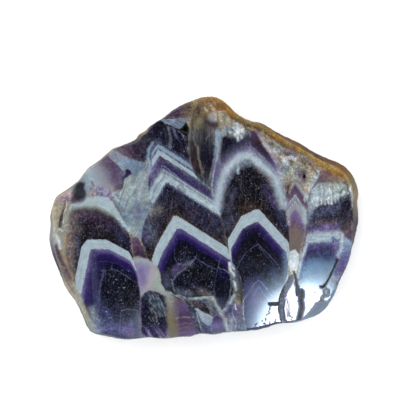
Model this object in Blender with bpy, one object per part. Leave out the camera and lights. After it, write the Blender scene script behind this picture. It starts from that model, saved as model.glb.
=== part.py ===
"""A polished slab of chevron amethyst, lying on its sawn back.

One stone, so one solid: a flat polished face on top, a flat sawn back at z = 0, and the rough natural rind of the
stone as the wall between them. The pits in the polished face are open vugs. Metres, +Z up, image-up of the face is +Y.
"""

import math

import bmesh
import bpy
from mathutils import Vector, noise

MM = 0.001

# The slab
THICKNESS = 18.0 * MM
POLISH_ROUNDING = 0.5 * MM
BACK_INSET = 2.4 * MM

# Facets of the loft
STEPS_ROUND = 180
LUMP_SIZE = 11.0 * MM
LUMP_HEIGHT = 1.3 * MM
CHIP_SIZE = 4.5 * MM
CHIP_HEIGHT = 0.5 * MM

# The stone seen from above, clockwise from its peak, in mm: x, y of the widest outline, and how far inside it
# the polished face ends. That lip is wide where the rind bulges out below the face.
OUTLINE_MM = [
    (4.0, 61.5, 1.0),
    (9.0, 59.8, 1.0),
    (12.5, 57.0, 1.0),
    (15.5, 54.0, 1.0),
    (19.5, 51.3, 1.0),
    (24.0, 48.9, 1.0),
    (29.0, 48.0, 1.0),
    (33.0, 46.0, 1.2),
    (37.0, 43.5, 1.8),
    (43.0, 40.5, 2.4),
    (49.0, 37.5, 3.0),
    (55.0, 34.0, 3.2),
    (59.0, 31.8, 3.4),
    (63.0, 30.0, 3.8),
    (71.0, 26.3, 4.2),
    (74.0, 23.5, 4.2),
    (76.5, 19.5, 3.8),
    (78.0, 14.0, 3.6),
    (77.6, 6.5, 3.4),
    (78.2, -0.5, 3.2),
    (77.0, -7.0, 2.2),
    (75.0, -16.0, 1.5),
    (73.0, -23.0, 1.2),
    (67.5, -35.0, 1.2),
    (65.0, -41.0, 1.4),
    (64.1, -43.2, 1.8),
    (63.5, -44.5, 6.6),
    (61.0, -47.0, 6.2),
    (57.5, -49.5, 4.8),
    (53.5, -50.5, 2.2),
    (50.0, -51.8, 1.2),
    (38.0, -53.8, 1.0),
    (31.0, -55.5, 1.0),
    (13.0, -57.8, 1.0),
    (4.0, -59.0, 1.0),
    (-1.0, -58.5, 1.0),
    (-5.5, -59.8, 1.0),
    (-28.0, -60.5, 1.0),
    (-41.0, -61.3, 1.2),
    (-47.0, -60.3, 1.6),
    (-57.0, -58.0, 2.2),
    (-59.0, -56.0, 2.2),
    (-60.5, -51.5, 2.0),
    (-64.5, -43.0, 2.0),
    (-70.0, -35.5, 2.5),
    (-72.5, -31.0, 2.5),
    (-76.0, -21.0, 2.5),
    (-78.3, -10.0, 2.5),
    (-77.5, -4.5, 2.2),
    (-78.0, 0.5, 2.0),
    (-77.3, 5.0, 1.6),
    (-76.0, 9.0, 1.6),
    (-74.0, 11.5, 1.5),
    (-69.5, 13.8, 1.5),
    (-63.5, 18.8, 1.0),
    (-60.5, 23.3, 1.0),
    (-56.5, 26.8, 1.0),
    (-52.0, 29.8, 1.0),
    (-47.5, 34.0, 1.0),
    (-43.5, 36.3, 1.0),
    (-35.0, 39.5, 1.8),
    (-33.0, 42.3, 1.8),
    (-29.5, 44.0, 1.4),
    (-28.0, 46.0, 1.0),
    (-24.0, 49.3, 1.0),
    (-20.5, 51.0, 1.0),
    (-16.0, 54.5, 1.0),
    (-5.5, 59.5, 1.0),
    (-2.0, 60.8, 1.0),
]

# The wall from the back up: height as a share of the thickness, share of the back's inset, share of the lip
WALL = [
    (0.00, 1.0, 0.0),
    (0.07, 0.55, 0.0),
    (0.22, 0.2, 0.0),
    (0.40, 0.0, 0.0),
    (0.58, 0.0, 0.1),
    (0.76, 0.0, 0.4),
    (0.90, 0.0, 0.8),
]

# Vugs in the polished face, in mm: x, y, half width along and across, depth, turn in degrees
VUGS_MM = {
    "black_vug": (-9.8, 44.8, 2.6, 1.5, 4.5, 62.0),
    "rusty_vug": (50.2, 20.8, 1.2, 0.8, 2.5, 70.0),
    "rind_vug": (-71.2, -0.5, 5.6, 0.8, 2.0, 78.0),
}
VUG_SIDES = 7


def new_collection(name):
    collection = bpy.data.collections.new(name)
    bpy.context.scene.collection.children.link(collection)
    return collection


def stone_material():
    material = bpy.data.materials.new("polished amethyst")
    material.use_nodes = True
    shader = material.node_tree.nodes["Principled BSDF"]
    shader.inputs["Base Color"].default_value = (0.09, 0.06, 0.16, 1.0)
    shader.inputs["Roughness"].default_value = 0.12
    shader.inputs["Metallic"].default_value = 0.0
    return material


def smooth_between(a, b, c, d, t):
    """The Catmull-Rom curve through b and c at share t of the way."""
    return 0.5 * (2 * b + (c - a) * t + (2 * a - 5 * b + 4 * c - d) * t**2 + (3 * b - a - 3 * c + d) * t**3)


def polar_outline():
    """The outline as (clockwise angle from +Y, radius, lip), in rising order of angle."""
    found = [(math.atan2(x, y) % math.tau, math.hypot(x, y) * MM, lip * MM) for x, y, lip in OUTLINE_MM]
    return sorted(found)


def outline_at(points, angle):
    """(radius, lip) of the outline in the direction of angle."""
    count = len(points)
    after = next((i for i, point in enumerate(points) if point[0] > angle), 0)
    near = [points[(after + step) % count] for step in (-2, -1, 0, 1)]
    gap = (near[2][0] - near[1][0]) % math.tau
    share = ((angle - near[1][0]) % math.tau) / gap
    radius = smooth_between(*(point[1] for point in near), share)
    lip = near[1][2] + (near[2][2] - near[1][2]) * share
    return radius, lip


def rind_relief(place):
    """How far the rough wall lies inside the outline at a place on it."""
    lumps = noise.noise(place / LUMP_SIZE) * LUMP_HEIGHT
    chips = abs(noise.noise(place / CHIP_SIZE)) * CHIP_HEIGHT
    return max(0.0, lumps) + chips


def ring(points, height, inset_of, relief_share):
    """The outline's points at one height, drawn in by inset_of(lip) and by the rind's relief."""
    places = []
    for step in range(STEPS_ROUND):
        angle = math.tau * step / STEPS_ROUND
        radius, lip = outline_at(points, angle)
        way = Vector((math.sin(angle), math.cos(angle), 0.0))
        wall = way * radius + Vector((0.0, 0.0, height))
        inset = inset_of(lip) + relief_share * rind_relief(wall)
        places.append(wall - way * inset)
    return places


def slab_mesh():
    """A loft of unlike sections: the sawn back, the bulging rind and the edge of the polished face."""
    points = polar_outline()
    rings = []
    for height, back_share, lip_share in WALL:
        rough = 1.0 if 0.0 < height < 0.85 else 0.5
        rings.append(
            ring(points, height * THICKNESS, lambda lip: back_share * BACK_INSET + lip_share * lip, rough)
        )
    rings.append(ring(points, THICKNESS - POLISH_ROUNDING, lambda lip: lip, 0.15))
    rings.append(ring(points, THICKNESS, lambda lip: lip + POLISH_ROUNDING, 0.15))
    bm = bmesh.new()
    loops = [[bm.verts.new(place) for place in places] for places in rings]
    for low, high in zip(loops, loops[1:]):
        for i in range(STEPS_ROUND):
            j = (i + 1) % STEPS_ROUND
            bm.faces.new((low[i], high[i], high[j], low[j]))
    bm.faces.new(loops[0])
    bm.faces.new(reversed(loops[-1]))
    bmesh.ops.triangulate(bm, faces=[face for face in bm.faces if len(face.verts) > 4])
    bmesh.ops.recalc_face_normals(bm, faces=bm.faces)
    mesh = bpy.data.meshes.new("amethyst_slab")
    bm.to_mesh(mesh)
    bm.free()
    return mesh


def vug_cutter(name, collection):
    """A faceted pit, widest above the polished face and pointed at its bottom."""
    x, y, along, across, depth, turn = VUGS_MM[name]
    bm = bmesh.new()
    bmesh.ops.create_cone(
        bm, cap_ends=True, segments=VUG_SIDES, radius1=0.25 * MM, radius2=2 * MM, depth=2 * depth * MM
    )
    # The cone is level with the face at its middle, where its radius is half that of both ends together.
    middle = 0.5 * (0.25 + 2.0)
    for vert in bm.verts:
        vert.co.x *= along / middle
        vert.co.y *= across / middle
    mesh = bpy.data.meshes.new(name)
    bm.to_mesh(mesh)
    bm.free()
    cutter = bpy.data.objects.new(name, mesh)
    cutter.location = (x * MM, y * MM, THICKNESS)
    cutter.rotation_euler = (0.0, 0.0, math.radians(turn))
    cutter.display_type = "WIRE"
    cutter.hide_render = True
    collection.objects.link(cutter)
    return cutter


def build():
    for old in list(bpy.data.objects):
        bpy.data.objects.remove(old)
    parts = new_collection("chevron_amethyst_slab")
    cutters = new_collection("cutters")
    slab = bpy.data.objects.new("amethyst_slab", slab_mesh())
    slab.data.materials.append(stone_material())
    parts.objects.link(slab)
    for name in VUGS_MM:
        cut = slab.modifiers.new(name, "BOOLEAN")
        cut.operation = "DIFFERENCE"
        cut.object = vug_cutter(name, cutters)


build()
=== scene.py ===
"""The look of a polished slab of chevron amethyst, lying face up on its sawn back.

One stone, so one closed mesh. Its face is drawn as a plan of crystals: each crystal is an area with its
own growth facets, and colours, milky bands and fibres follow the distance that the crystal had grown. The
plan is laid out in steps of half a millimetre, x to the right and y down. Everything else is in metres.
"""

import math

import bpy
import numpy as np
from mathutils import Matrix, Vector, kdtree, noise
from mathutils.bvhtree import BVHTree
from mathutils.geometry import delaunay_2d_cdt


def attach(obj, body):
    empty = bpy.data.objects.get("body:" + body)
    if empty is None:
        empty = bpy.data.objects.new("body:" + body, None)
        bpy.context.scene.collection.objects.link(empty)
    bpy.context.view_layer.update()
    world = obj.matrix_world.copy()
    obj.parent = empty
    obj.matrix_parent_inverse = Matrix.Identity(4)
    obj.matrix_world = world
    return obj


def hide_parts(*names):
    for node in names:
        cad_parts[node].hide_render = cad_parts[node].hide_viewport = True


MM = 0.001
PLAN_STEP = 0.5 * MM
PLAN_CENTRE = np.array([204.0, 218.0])

# The mesh: its spacing on the face and the back, and the columns and levels of its wall
FACE_SPACING = 0.5 * MM
BACK_SPACING = 1.6 * MM
CAP_MARGIN = 0.7
MERGE_MM = 0.02
COLUMNS = 660
WALL_LEVELS = 18
EDGE_LEVELS = [0.6, 0.42, 0.26, 0.13, 0.04]
EDGE_STEP = 0.12 * MM
OUTSIDE = 0.3
SMOOTH_ROUNDS = 3

# The rind's lumps: how wide and how deep
RIND_LUMPS = [(3.2 * MM, 0.55 * MM), (1.1 * MM, 0.28 * MM)]

# Drawn lines are cut into steps and wander a little: how often, how far, and where in the noise
SEAM_STEP = 1.1
VEIN_STEP = 0.3
WANDER = [(0.22, 0.8, 3.0), (0.7, 0.45, 9.0)]
WANDER_APART = Vector((40.0, 0.0, 0.0))

# Stands for a distance at which nothing shows any more
FAR = 9.0

# Areas at least this soft lie over others as patches. The rest meet at a seam.
PATCH_SOFTNESS = 2.5
SEAM_SHARE = 0.85

# A stroke fades out within this many of its widths, and is left off where it is weaker than the least share
STROKE_REACH = 2.5
LEAST_SHARE = 0.004

# Fibres in the areas without growth facets run on for longer, and each area has a grain of its own
FIBRE_STRETCH = 0.4
GRAIN_APART = 7.0
NO_BAND = (0.3, 0.3, 0.3, 0.5)

# How often, and inside crystals how far, neighbouring colours run into one another
MELT_ROUNDS = 3
MELT_CRYSTALS = 0.5

# How the pattern runs on down the side: it leans by this many plan steps and draws in by this share
LEAN = np.array([4.0, -5.0])
SIDE_SHRINK = 0.035

# The stone's gloss
QUARTZ_IOR = 1.544
SPECULAR_LEVEL = 0.34
BUMP_HEIGHT = 0.5 * MM

# Colours and strengths inside the shader, as linear light
WARM_DRIFT = (1.1, 0.97, 0.94, 1.0)
COOL_DRIFT = (0.93, 1.01, 1.07, 1.0)
PALER_TIMES = (1.9, 1.9, 1.85, 1.0)
PALER_PLUS = (0.022, 0.022, 0.03, 1.0)
SPECK_COLOUR = (0.24, 0.27, 0.33, 1.0)
DUST_COLOUR = (0.1, 0.11, 0.16, 1.0)

# Three sets of scratches: turn in radians and how short they are
SCRATCHES = ((0.45, 0.05), (-0.75, 0.045), (1.35, 0.06))

# How much light the scene gives, so that a colour below is the colour that shows
LIGHT_GAIN = 2.0

# The stone's colours as they show, 0 to 255
PALETTE = {
    "white": (226, 234, 240),
    "pale_white": (208, 216, 222),
    "bright_milk": (190, 205, 213),
    "milk": (168, 186, 196),
    "blue_milk": (138, 158, 182),
    "green_milk": (156, 170, 163),
    "pink_milk": (168, 160, 170),
    "cream": (180, 174, 154),
    "straw": (166, 158, 124),
    "pearl": (150, 150, 162),
    "silver": (122, 134, 146),
    "steel": (104, 126, 148),
    "slate": (84, 94, 112),
    "dusk": (62, 66, 88),
    "ash": (128, 122, 112),
    "stone": (100, 98, 96),
    "charcoal": (50, 54, 62),
    "lavender": (142, 134, 170),
    "lilac": (112, 102, 148),
    "heather": (90, 80, 126),
    "mauve": (102, 82, 106),
    "plum": (76, 58, 84),
    "dusk_violet": (54, 46, 88),
    "deep_violet": (38, 26, 90),
    "indigo": (24, 16, 64),
    "aubergine": (46, 33, 50),
    "ink": (8, 9, 25),
    "night": (18, 16, 34),
    "navy": (34, 34, 58),
    "twilight": (54, 62, 98),
    "mist": (106, 138, 170),
    "periwinkle": (92, 96, 142),
    "smoke": (42, 38, 50),
    "soot": (20, 17, 22),
    "black": (3, 3, 5),
    "dun": (72, 62, 68),
    "umber": (56, 42, 34),
    "bark": (66, 38, 10),
    "brown": (96, 68, 50),
    "rust": (124, 72, 26),
    "ochre": (162, 110, 36),
    "gold": (176, 138, 52),
    "sand": (156, 138, 102),
    "olive": (124, 114, 80),
    "rose": (150, 122, 136),
    "pink": (140, 92, 122),
    "taupe": (116, 104, 100),
}


def rgb(name):
    """A colour of the palette, turned into the stone's own linear colour."""
    shown = np.array(PALETTE[name]) / 255.0
    linear = np.where(shown <= 0.04045, shown / 12.92, ((shown + 0.055) / 1.055) ** 2.4)
    return linear / LIGHT_GAIN


# Textures: cloudy mottling, fibres and scratches, white specks, loose crumbs, crackle
TEXTURES = {
    "glassy": (0.3, 0.2, 0.3, 0.0, 0.1),
    "dark": (0.8, 0.6, 0.9, 0.0, 0.3),
    "fibres": (0.7, 1.0, 0.8, 0.0, 0.2),
    "milky": (0.12, 0.15, 0.0, 0.0, 0.05),
    "pale": (0.25, 0.35, 0.0, 0.05, 0.25),
    "cloudy": (0.6, 0.4, 0.2, 0.1, 0.3),
    "streaky": (0.35, 0.7, 0.0, 0.05, 0.2),
    "broken": (0.9, 0.7, 0.6, 0.3, 0.9),
    "rubbly": (0.7, 0.3, 0.1, 0.4, 0.15),
    "crumbly": (0.4, 1.0, 0.1, 0.16, 0.1),
    "rind": (0.5, 0.1, 0.0, 0.45, 0.0),
}

AREAS = []
STROKES = []
VEINS = []


def area(name, outline, along, fade, texture, marbling=("milk", 0.0), fan=(204, 600), finish=1.0, soft=1.5):
    """Part of the face: it fades along a line, is marbled with one more colour, and its fibres fan out."""
    spec = {"name": name, "outline": outline, "along": along, "fade": fade, "texture": texture}
    AREAS.append({**spec, "marbling": marbling, "fan": fan, "finish": finish, "soft": soft})


def crystal(name, outline, facets, growth, bands, fan, soft=1.0):
    """A crystal: facets are (point, way, rate), growth is (distance, colour, texture) out from them."""
    spec = {"name": name, "outline": outline, "facets": facets, "growth": growth, "bands": bands}
    AREAS.append({**spec, "marbling": ("milk", 0.0), "fan": fan, "finish": 1.0, "soft": soft})


def stroke(width, colour, strength, *points, texture=None, names=None, over=False):
    """A soft brush stroke of colour, in every area or in the named ones, under or over the bands."""
    STROKES.append((points, width, rgb(colour), strength, texture, names, over))


def haze(names, x, y, long, wide, turn, colour, strength):
    """A soft oval stain inside the named areas."""
    reach = max(0.0, long - wide)
    dx, dy = reach * math.cos(math.radians(turn)), reach * math.sin(math.radians(turn))
    stroke(wide, colour, strength, (x - dx, y - dy), (x + dx, y + dy), names=names)


def vein(width, colour, strength, *points):
    """A thin line that follows a healed crack or an earlier face of a crystal."""
    VEINS.append((points, width, rgb(colour), strength))


def needles(centre, near, far, start, end, count, colour, strength=0.7):
    """Fibres that radiate from a point, between two turns in degrees clockwise from the top."""
    for number in range(count):
        turn = math.radians(start + (end - start) * (number + 0.5) / count + 2.0 * math.sin(7.3 * number))
        low = near * (1.0 + 0.06 * math.sin(3.1 * number))
        high = near + (far - near) * (0.55 + 0.45 * math.sin(1.7 * number + 1.0))
        way = (math.sin(turn), -math.cos(turn))
        ends = [(centre[0] + way[0] * reach, centre[1] + way[1] * reach) for reach in (low, high)]
        vein(0.6, colour, strength, *ends)


# The crystals, from the top of the slab down
area(
    "broken_quartz",
    [(30, 80), (380, 80), (380, 350), (30, 350)], [(222, 112), (308, 190)],
    ["cream", "sand", "cream", "green_milk", "cream"], "rubbly", marbling=("dun", 0.65), fan=(250, 300),
)
area(
    "left_margin",
    [
        (38, 180), (62, 184), (72, 184), (73, 190), (70, 198), (69, 206), (68, 214), (67, 226), (66, 240),
        (66, 252), (69, 264), (73, 274), (77, 284), (80, 294), (83, 303), (87, 312), (92, 322), (98, 335),
        (100, 348), (38, 348),
    ],
    [(54, 205), (92, 335)], ["cream", "green_milk", "taupe", "cream", "stone"], "pale",
    marbling=("taupe", 0.7), fan=(150, 180),
)
area(
    "brown_corner",
    [
        (38, 200), (54, 196), (62, 192), (70, 188), (76, 183), (84, 173), (95, 164), (104, 158), (108, 154),
        (100, 150), (38, 180),
    ],
    [(54, 197), (106, 156)], ["cream", "brown", "sand", "dun", "sand", "mauve"], "milky",
    marbling=("straw", 0.4),
)
area(
    "top_edge",
    [
        (140, 125), (158, 112), (176, 104), (192, 96), (200, 102), (200, 108), (197, 112), (195, 118),
        (188, 117), (184, 119), (182, 118), (163, 119), (150, 128),
    ],
    [(160, 116), (195, 112)], ["dun", "plum", "olive"], "cloudy", marbling=("aubergine", 0.8), fan=(0, 180),
)
area(
    "glassy_zone",
    [
        (190, 119), (197, 115), (206, 111), (216, 113), (219, 124), (217, 134), (216, 146), (215, 158),
        (212, 168), (210, 178), (213, 190), (206, 185), (200, 181), (194, 173), (190, 163), (188, 150),
        (189, 140), (188, 128),
    ],
    [(200, 117), (207, 186)], ["olive", "stone", "charcoal", "night", "smoke", "slate"], "streaky",
    marbling=("soot", 0.6), fan=(196, -200),
)
area(
    "lavender_patch",
    [(208, 114), (212, 112), (216, 114), (217, 122), (213, 124), (208, 122)], [(212, 112), (212, 124)],
    ["pearl"], "milky", soft=2.5,
)
crystal(
    "middle_chevron",
    [
        (158, 119), (172, 117), (186, 120), (189, 128), (189, 140), (188, 150), (190, 162), (194, 172),
        (200, 181), (206, 185), (213, 191), (217, 202), (220, 214), (223, 226), (226, 238), (229, 252),
        (231, 262), (235, 271), (239, 281), (241, 292), (243, 302), (244, 315), (246, 340), (196, 345),
        (195, 326), (192, 316), (187, 306), (184, 299), (178, 297), (171, 293), (165, 291), (161, 283),
        (160, 274), (157, 267), (152, 262), (147, 259), (145, 251), (142, 243), (140, 233), (141, 224),
        (146, 214), (147, 206), (148, 196), (147, 186), (147, 174), (148, 163), (146, 154), (143, 146),
        (138, 134), (147, 126),
    ],
    [
        ((173, 217), (-0.865, -0.502), 1.0), ((180, 217.5), (0.537, -0.843), 0.97),
        ((177, 216), (0.0, -1.0), 1.42), ((156, 247), (-0.949, -0.316), 0.85),
    ],
    [
        (-28, "ink", "dark"), (-19, "ink", "glassy"), (-14, "deep_violet", "glassy"),
        (-9, "heather", "glassy"), (0, "umber", "fibres"), (5, "soot", "fibres"), (21, "navy", "dark"),
        (24, "slate", "cloudy"), (33, "silver", "milky"), (34, "dusk_violet", "cloudy"),
        (39, "dusk_violet", "cloudy"), (42, "slate", "cloudy"), (53, "dusk", "cloudy"),
        (56, "night", "dark"), (72, "ink", "dark"), (84, "aubergine", "broken"),
    ],
    [
        (-9, 0, "milk", 0.35), (23.5, 30, "milk", 1.2), (31.6, 32.6, "milk", 0.4),
        (42.8, 46.8, "milk", 0.6), (48.2, 52, "blue_milk", 0.8),
    ],
    (172, 330),
)
area(
    "layered_wedge",
    [
        (139, 172), (144, 166), (148, 161), (150, 166), (149, 175), (148, 184), (149, 194), (150, 203),
        (148, 212), (146, 218), (143, 226), (141, 240), (137, 241), (134, 237), (130, 232), (126, 226),
        (120, 217), (118, 208), (114, 200), (113, 192), (121, 190), (124, 181), (126, 177), (131, 176),
        (135, 178),
    ],
    [(146, 163), (134, 238)], ["silver", "green_milk", "silver", "green_milk"], "streaky",
    marbling=("steel", 0.8), fan=(60, 390), soft=2.0,
)
crystal(
    "right_of_middle_chevron",
    [
        (217, 127), (225, 127), (235, 126), (245, 128), (250, 129), (256, 130), (262, 136), (268, 146),
        (274, 155), (278, 163), (280, 173), (279, 179), (281, 187), (284, 195), (286, 205), (288, 215),
        (289, 225), (290, 237), (290, 250), (288, 262), (287, 275), (285, 290), (282, 300), (280, 310),
        (280, 340), (246, 340), (244, 315), (243, 302), (241, 292), (239, 281), (235, 271), (231, 262),
        (229, 252), (226, 238), (223, 226), (220, 214), (217, 202), (213, 191), (211, 180), (213, 168),
        (215, 158), (216, 146), (216, 136),
    ],
    [
        ((257, 209.5), (0.0, -1.0), 1.25), ((248, 213), (-0.447, -0.894), 1.16),
        ((236, 225.5), (-0.868, -0.496), 0.72), ((273, 225), (0.744, -0.668), 0.84),
        ((289.5, 249), (0.99, -0.14), 0.35), ((228.5, 250), (-0.998, 0.06), 0.25),
    ],
    [
        (-58, "twilight", "glassy"), (-48, "ink", "dark"), (-21, "night", "glassy"),
        (-14, "deep_violet", "cloudy"), (-10, "heather", "cloudy"), (0, "umber", "fibres"),
        (4, "soot", "fibres"), (36, "soot", "fibres"), (40, "slate", "cloudy"), (50, "heather", "cloudy"),
        (56, "navy", "broken"), (66, "ash", "crumbly"),
    ],
    [(-10, 0, "milk", 0.35)], (250, 300),
)
area(
    "left_leg",
    [
        (216, 128), (224, 134), (222, 142), (221, 150), (221, 158), (222, 163), (219, 172), (216.5, 182),
        (215, 195), (217, 206), (213, 192), (210, 180), (212, 168), (214, 158), (215, 146), (215, 136),
    ],
    [(219, 130), (214, 204)], ["blue_milk", "silver", "heather", "dusk_violet", "steel"], "glassy",
    fan=(215, 600), soft=1.0,
)
area(
    "dome_top",
    [
        (221, 135), (228, 135), (235, 137), (243, 136), (250, 133), (251, 146), (247, 152), (240, 153),
        (234, 157), (230, 161), (224, 164), (220, 164), (219, 154), (220, 144),
    ],
    [(226, 137), (240, 156)], ["ink", "night", "dusk", "heather"], "cloudy", marbling=("night", 0.4),
    fan=(250, 300), soft=2.6,
)
area(
    "froth",
    [
        (220, 130), (223, 126), (229, 127), (233, 122), (240, 123), (243, 128), (248, 131), (248, 135),
        (245, 137), (243, 141), (239, 141), (235, 138), (231, 137), (227, 136), (223, 138), (220, 137),
    ],
    [(222, 134), (242, 134)], ["green_milk", "silver", "milk", "silver"], "crumbly", marbling=("dusk", 0.4),
    fan=(236, 200), soft=2.6,
)
area(
    "violet_strip",
    [
        (250, 130), (255, 131), (259, 137), (264, 146), (269, 154), (274, 161), (276, 168), (275, 173),
        (269, 166), (262, 157), (256, 151), (251, 146),
    ],
    [(253, 133), (275, 170)], ["plum", "aubergine", "aubergine", "dusk_violet", "heather"], "glassy",
    marbling=("aubergine", 0.4), fan=(360, 260), soft=1.2,
)
area(
    "strip_rim",
    [
        (256, 130), (262, 134), (268, 143), (274, 152), (279, 162), (282, 173), (281, 186), (279, 177),
        (277, 168), (273, 160), (267, 151), (262, 143), (258, 135),
    ],
    [(260, 134), (281, 184)], ["rose", "pink_milk", "pearl", "milk"], "streaky", marbling=("mauve", 0.5),
    fan=(360, 260), soft=2.0,
)
area(
    "rust_patch",
    [
        (281, 186), (286, 184), (290, 182), (292, 187), (290, 194), (289, 201), (286, 203), (283, 197),
        (280, 191),
    ],
    [(290, 183), (285, 202)], ["brown", "stone"], "broken", marbling=("umber", 0.7),
)
crystal(
    "narrow_chevrons",
    [
        (291, 186), (295, 182), (299, 184), (304, 192), (307, 199), (308, 208), (307, 216), (306, 224),
        (304, 234), (302, 244), (300, 252), (299, 262), (298, 272), (294, 277), (289, 272), (288, 262),
        (290, 250), (289, 236), (289, 222), (287, 208), (285, 200), (290, 196),
    ],
    [((295, 205), (-0.82, -0.57), 1.0), ((295, 205), (0.82, -0.57), 1.0)],
    [
        (-26, "stone", "pale"), (-20, "taupe", "milky"), (-13, "taupe", "milky"), (-9, "mauve", "glassy"),
        (-3, "lilac", "glassy"), (-1, "pearl", "milky"), (2, "pearl", "milky"), (3, "silver", "glassy"),
        (5.6, "pearl", "milky"), (6.4, "mauve", "glassy"), (11, "plum", "glassy"), (13, "pearl", "milky"),
        (26, "taupe", "pale"),
    ],
    [(1.7, 2.2, "bright_milk", 0.4), (5.3, 6.0, "bright_milk", 0.4)], (295, 330),
)
area(
    "white_blob",
    [
        (290, 252), (295, 249), (299, 254), (299, 264), (297, 271), (294, 276), (290, 272), (288, 264),
        (289, 257),
    ],
    [(294, 258), (292, 275)], ["pale_white", "white", "cream"], "pale", marbling=("milk", 0.5),
)
crystal(
    "right_chevron",
    [
        (320, 170), (330, 170), (340, 174), (348, 180), (351, 190), (353, 202), (355, 212), (357, 224),
        (355, 236), (352, 248), (350, 262), (352, 300), (330, 340), (283, 340), (286, 320), (288, 300),
        (294, 290), (297, 280), (298, 270), (300, 260), (302, 248), (304, 237), (306, 225), (307, 212),
        (308, 200), (310, 191), (315, 183), (318, 176),
    ],
    [
        ((320, 234.5), (-0.09, -0.996), 1.0), ((303.5, 250), (-0.963, -0.27), 0.3),
        ((341.5, 238), (0.99, -0.1), 0.35),
    ],
    [
        (-40, "blue_milk", "milky"), (-31, "mist", "milky"), (-22, "twilight", "cloudy"),
        (-15, "dusk_violet", "cloudy"), (-8, "periwinkle", "cloudy"), (0, "pearl", "streaky"),
        (5, "heather", "fibres"), (12, "dun", "fibres"), (16, "smoke", "broken"), (22, "dusk", "broken"),
        (30, "navy", "broken"), (56, "taupe", "cloudy"),
    ],
    [(-8.0, 1.5, "milk", 1.3)], (325, 330),
)
area(
    "right_froth",
    [
        (317, 182), (325, 181), (333, 181), (341, 182), (347, 184), (350, 192), (346, 197), (341, 198),
        (337, 202), (331, 206), (326, 204), (321, 206), (315, 210), (311, 216), (309, 222), (307, 228),
        (306, 218), (307, 206), (309, 196), (311, 190), (314, 185),
    ],
    [(330, 184), (312, 220)], ["green_milk", "milk", "milk", "silver"], "crumbly", marbling=("slate", 0.3),
    fan=(330, 260), soft=2.6,
)
area(
    "froth_roof",
    [
        (319, 171), (326, 167), (334, 170), (344, 176), (348, 184), (341, 183), (334, 182), (327, 182),
        (320, 184), (313, 190), (315, 181),
    ],
    [(316, 182), (346, 178)], ["mauve", "taupe", "sand"], "cloudy", marbling=("brown", 0.4), soft=2.5,
)
area(
    "white_diagonal",
    [
        (317, 170), (320, 172), (318, 178), (314, 184), (311, 190), (308, 197), (305, 203), (303, 199),
        (306, 192), (309, 185), (313, 177),
    ],
    [(318, 172), (305, 200)], ["milk"], "crumbly", soft=1.2,
)
area(
    "shadowed_corner",
    [
        (337, 212), (341, 203), (346, 200), (352, 199), (355, 212), (359, 222), (358, 233), (355, 243),
        (352, 247), (349, 241), (346, 237), (343, 238), (341, 232), (338, 228), (336, 220),
    ],
    [(346, 203), (352, 243)], ["night", "smoke", "dun", "mauve"], "dark", soft=2.5,
)
area(
    "lower_channel",
    [
        (288, 276), (291, 274), (294, 277), (296, 284), (293, 292), (289, 300), (287, 320), (284, 345),
        (278, 345), (279, 312), (281, 300), (285, 289),
    ],
    [(291, 276), (283, 325)], ["silver", "lavender", "dusk_violet", "slate"], "milky", soft=1.0,
)
area(
    "small_right_crystal",
    [
        (341, 239), (346, 237), (350, 241), (355, 244), (360, 250), (352, 300), (330, 310), (326, 292),
        (331, 280), (336, 268), (338, 258), (340, 248),
    ],
    [(347, 240), (333, 298)], ["blue_milk", "periwinkle", "heather", "silver", "mist"], "cloudy", soft=2.0,
)
area(
    "grey_facet",
    [
        (106, 158), (109, 151), (114, 150), (119, 152), (124, 156), (131, 159), (138, 161), (146, 161),
        (145, 167), (139, 173), (135, 178), (131, 176), (131, 171), (128, 168), (124, 171), (118, 166),
        (112, 160),
    ],
    [(111, 155), (137, 174)], ["pearl", "blue_milk", "steel"], "pale", marbling=("slate", 0.5),
    fan=(240, -40), soft=2.0,
)
area(
    "dark_shoulder",
    [
        (108, 149), (114, 143), (124, 136), (136, 128), (146, 126), (148, 133), (150, 142), (147, 150),
        (148, 158), (145, 162), (138, 161), (131, 159), (124, 156), (119, 152), (112, 151),
    ],
    [(112, 150), (145, 144)], ["ash", "mauve", "aubergine", "smoke"], "cloudy", marbling=("dusk", 0.5),
    fan=(240, -40), soft=2.0,
)
area(
    "pale_crystal",
    [
        (70, 184), (84, 170), (98, 158), (107, 152), (110, 158), (114, 162), (118, 166), (122, 170),
        (125, 173), (126, 177), (124, 181), (123, 186), (121, 190), (115, 191), (109, 190), (103, 188),
        (97, 187), (92, 188), (88, 196), (85, 201), (80, 203), (72, 204), (72, 190),
    ],
    [(82, 184), (121, 170)], ["silver", "milk", "pearl", "mauve", "heather"], "milky",
    marbling=("silver", 0.4), fan=(-40, 190), soft=1.2,
)
area(
    "little_dark_crystal",
    [
        (125, 170), (128, 168), (131, 171), (132, 175), (129, 176), (126, 178), (124, 181), (123, 178),
        (125, 174),
    ],
    [(128, 169), (124, 180)], ["indigo", "dusk_violet"], "glassy", soft=1.0,
)
area(
    "violet_foot",
    [
        (88, 188), (92, 184), (100, 185), (109, 188), (115, 193), (117, 199), (112, 202), (104, 199),
        (95, 199), (89, 196),
    ],
    [(92, 191), (113, 197)], ["pearl", "lilac", "heather"], "cloudy", marbling=("pearl", 0.6),
    fan=(90, 400), soft=3.5,
)
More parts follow.
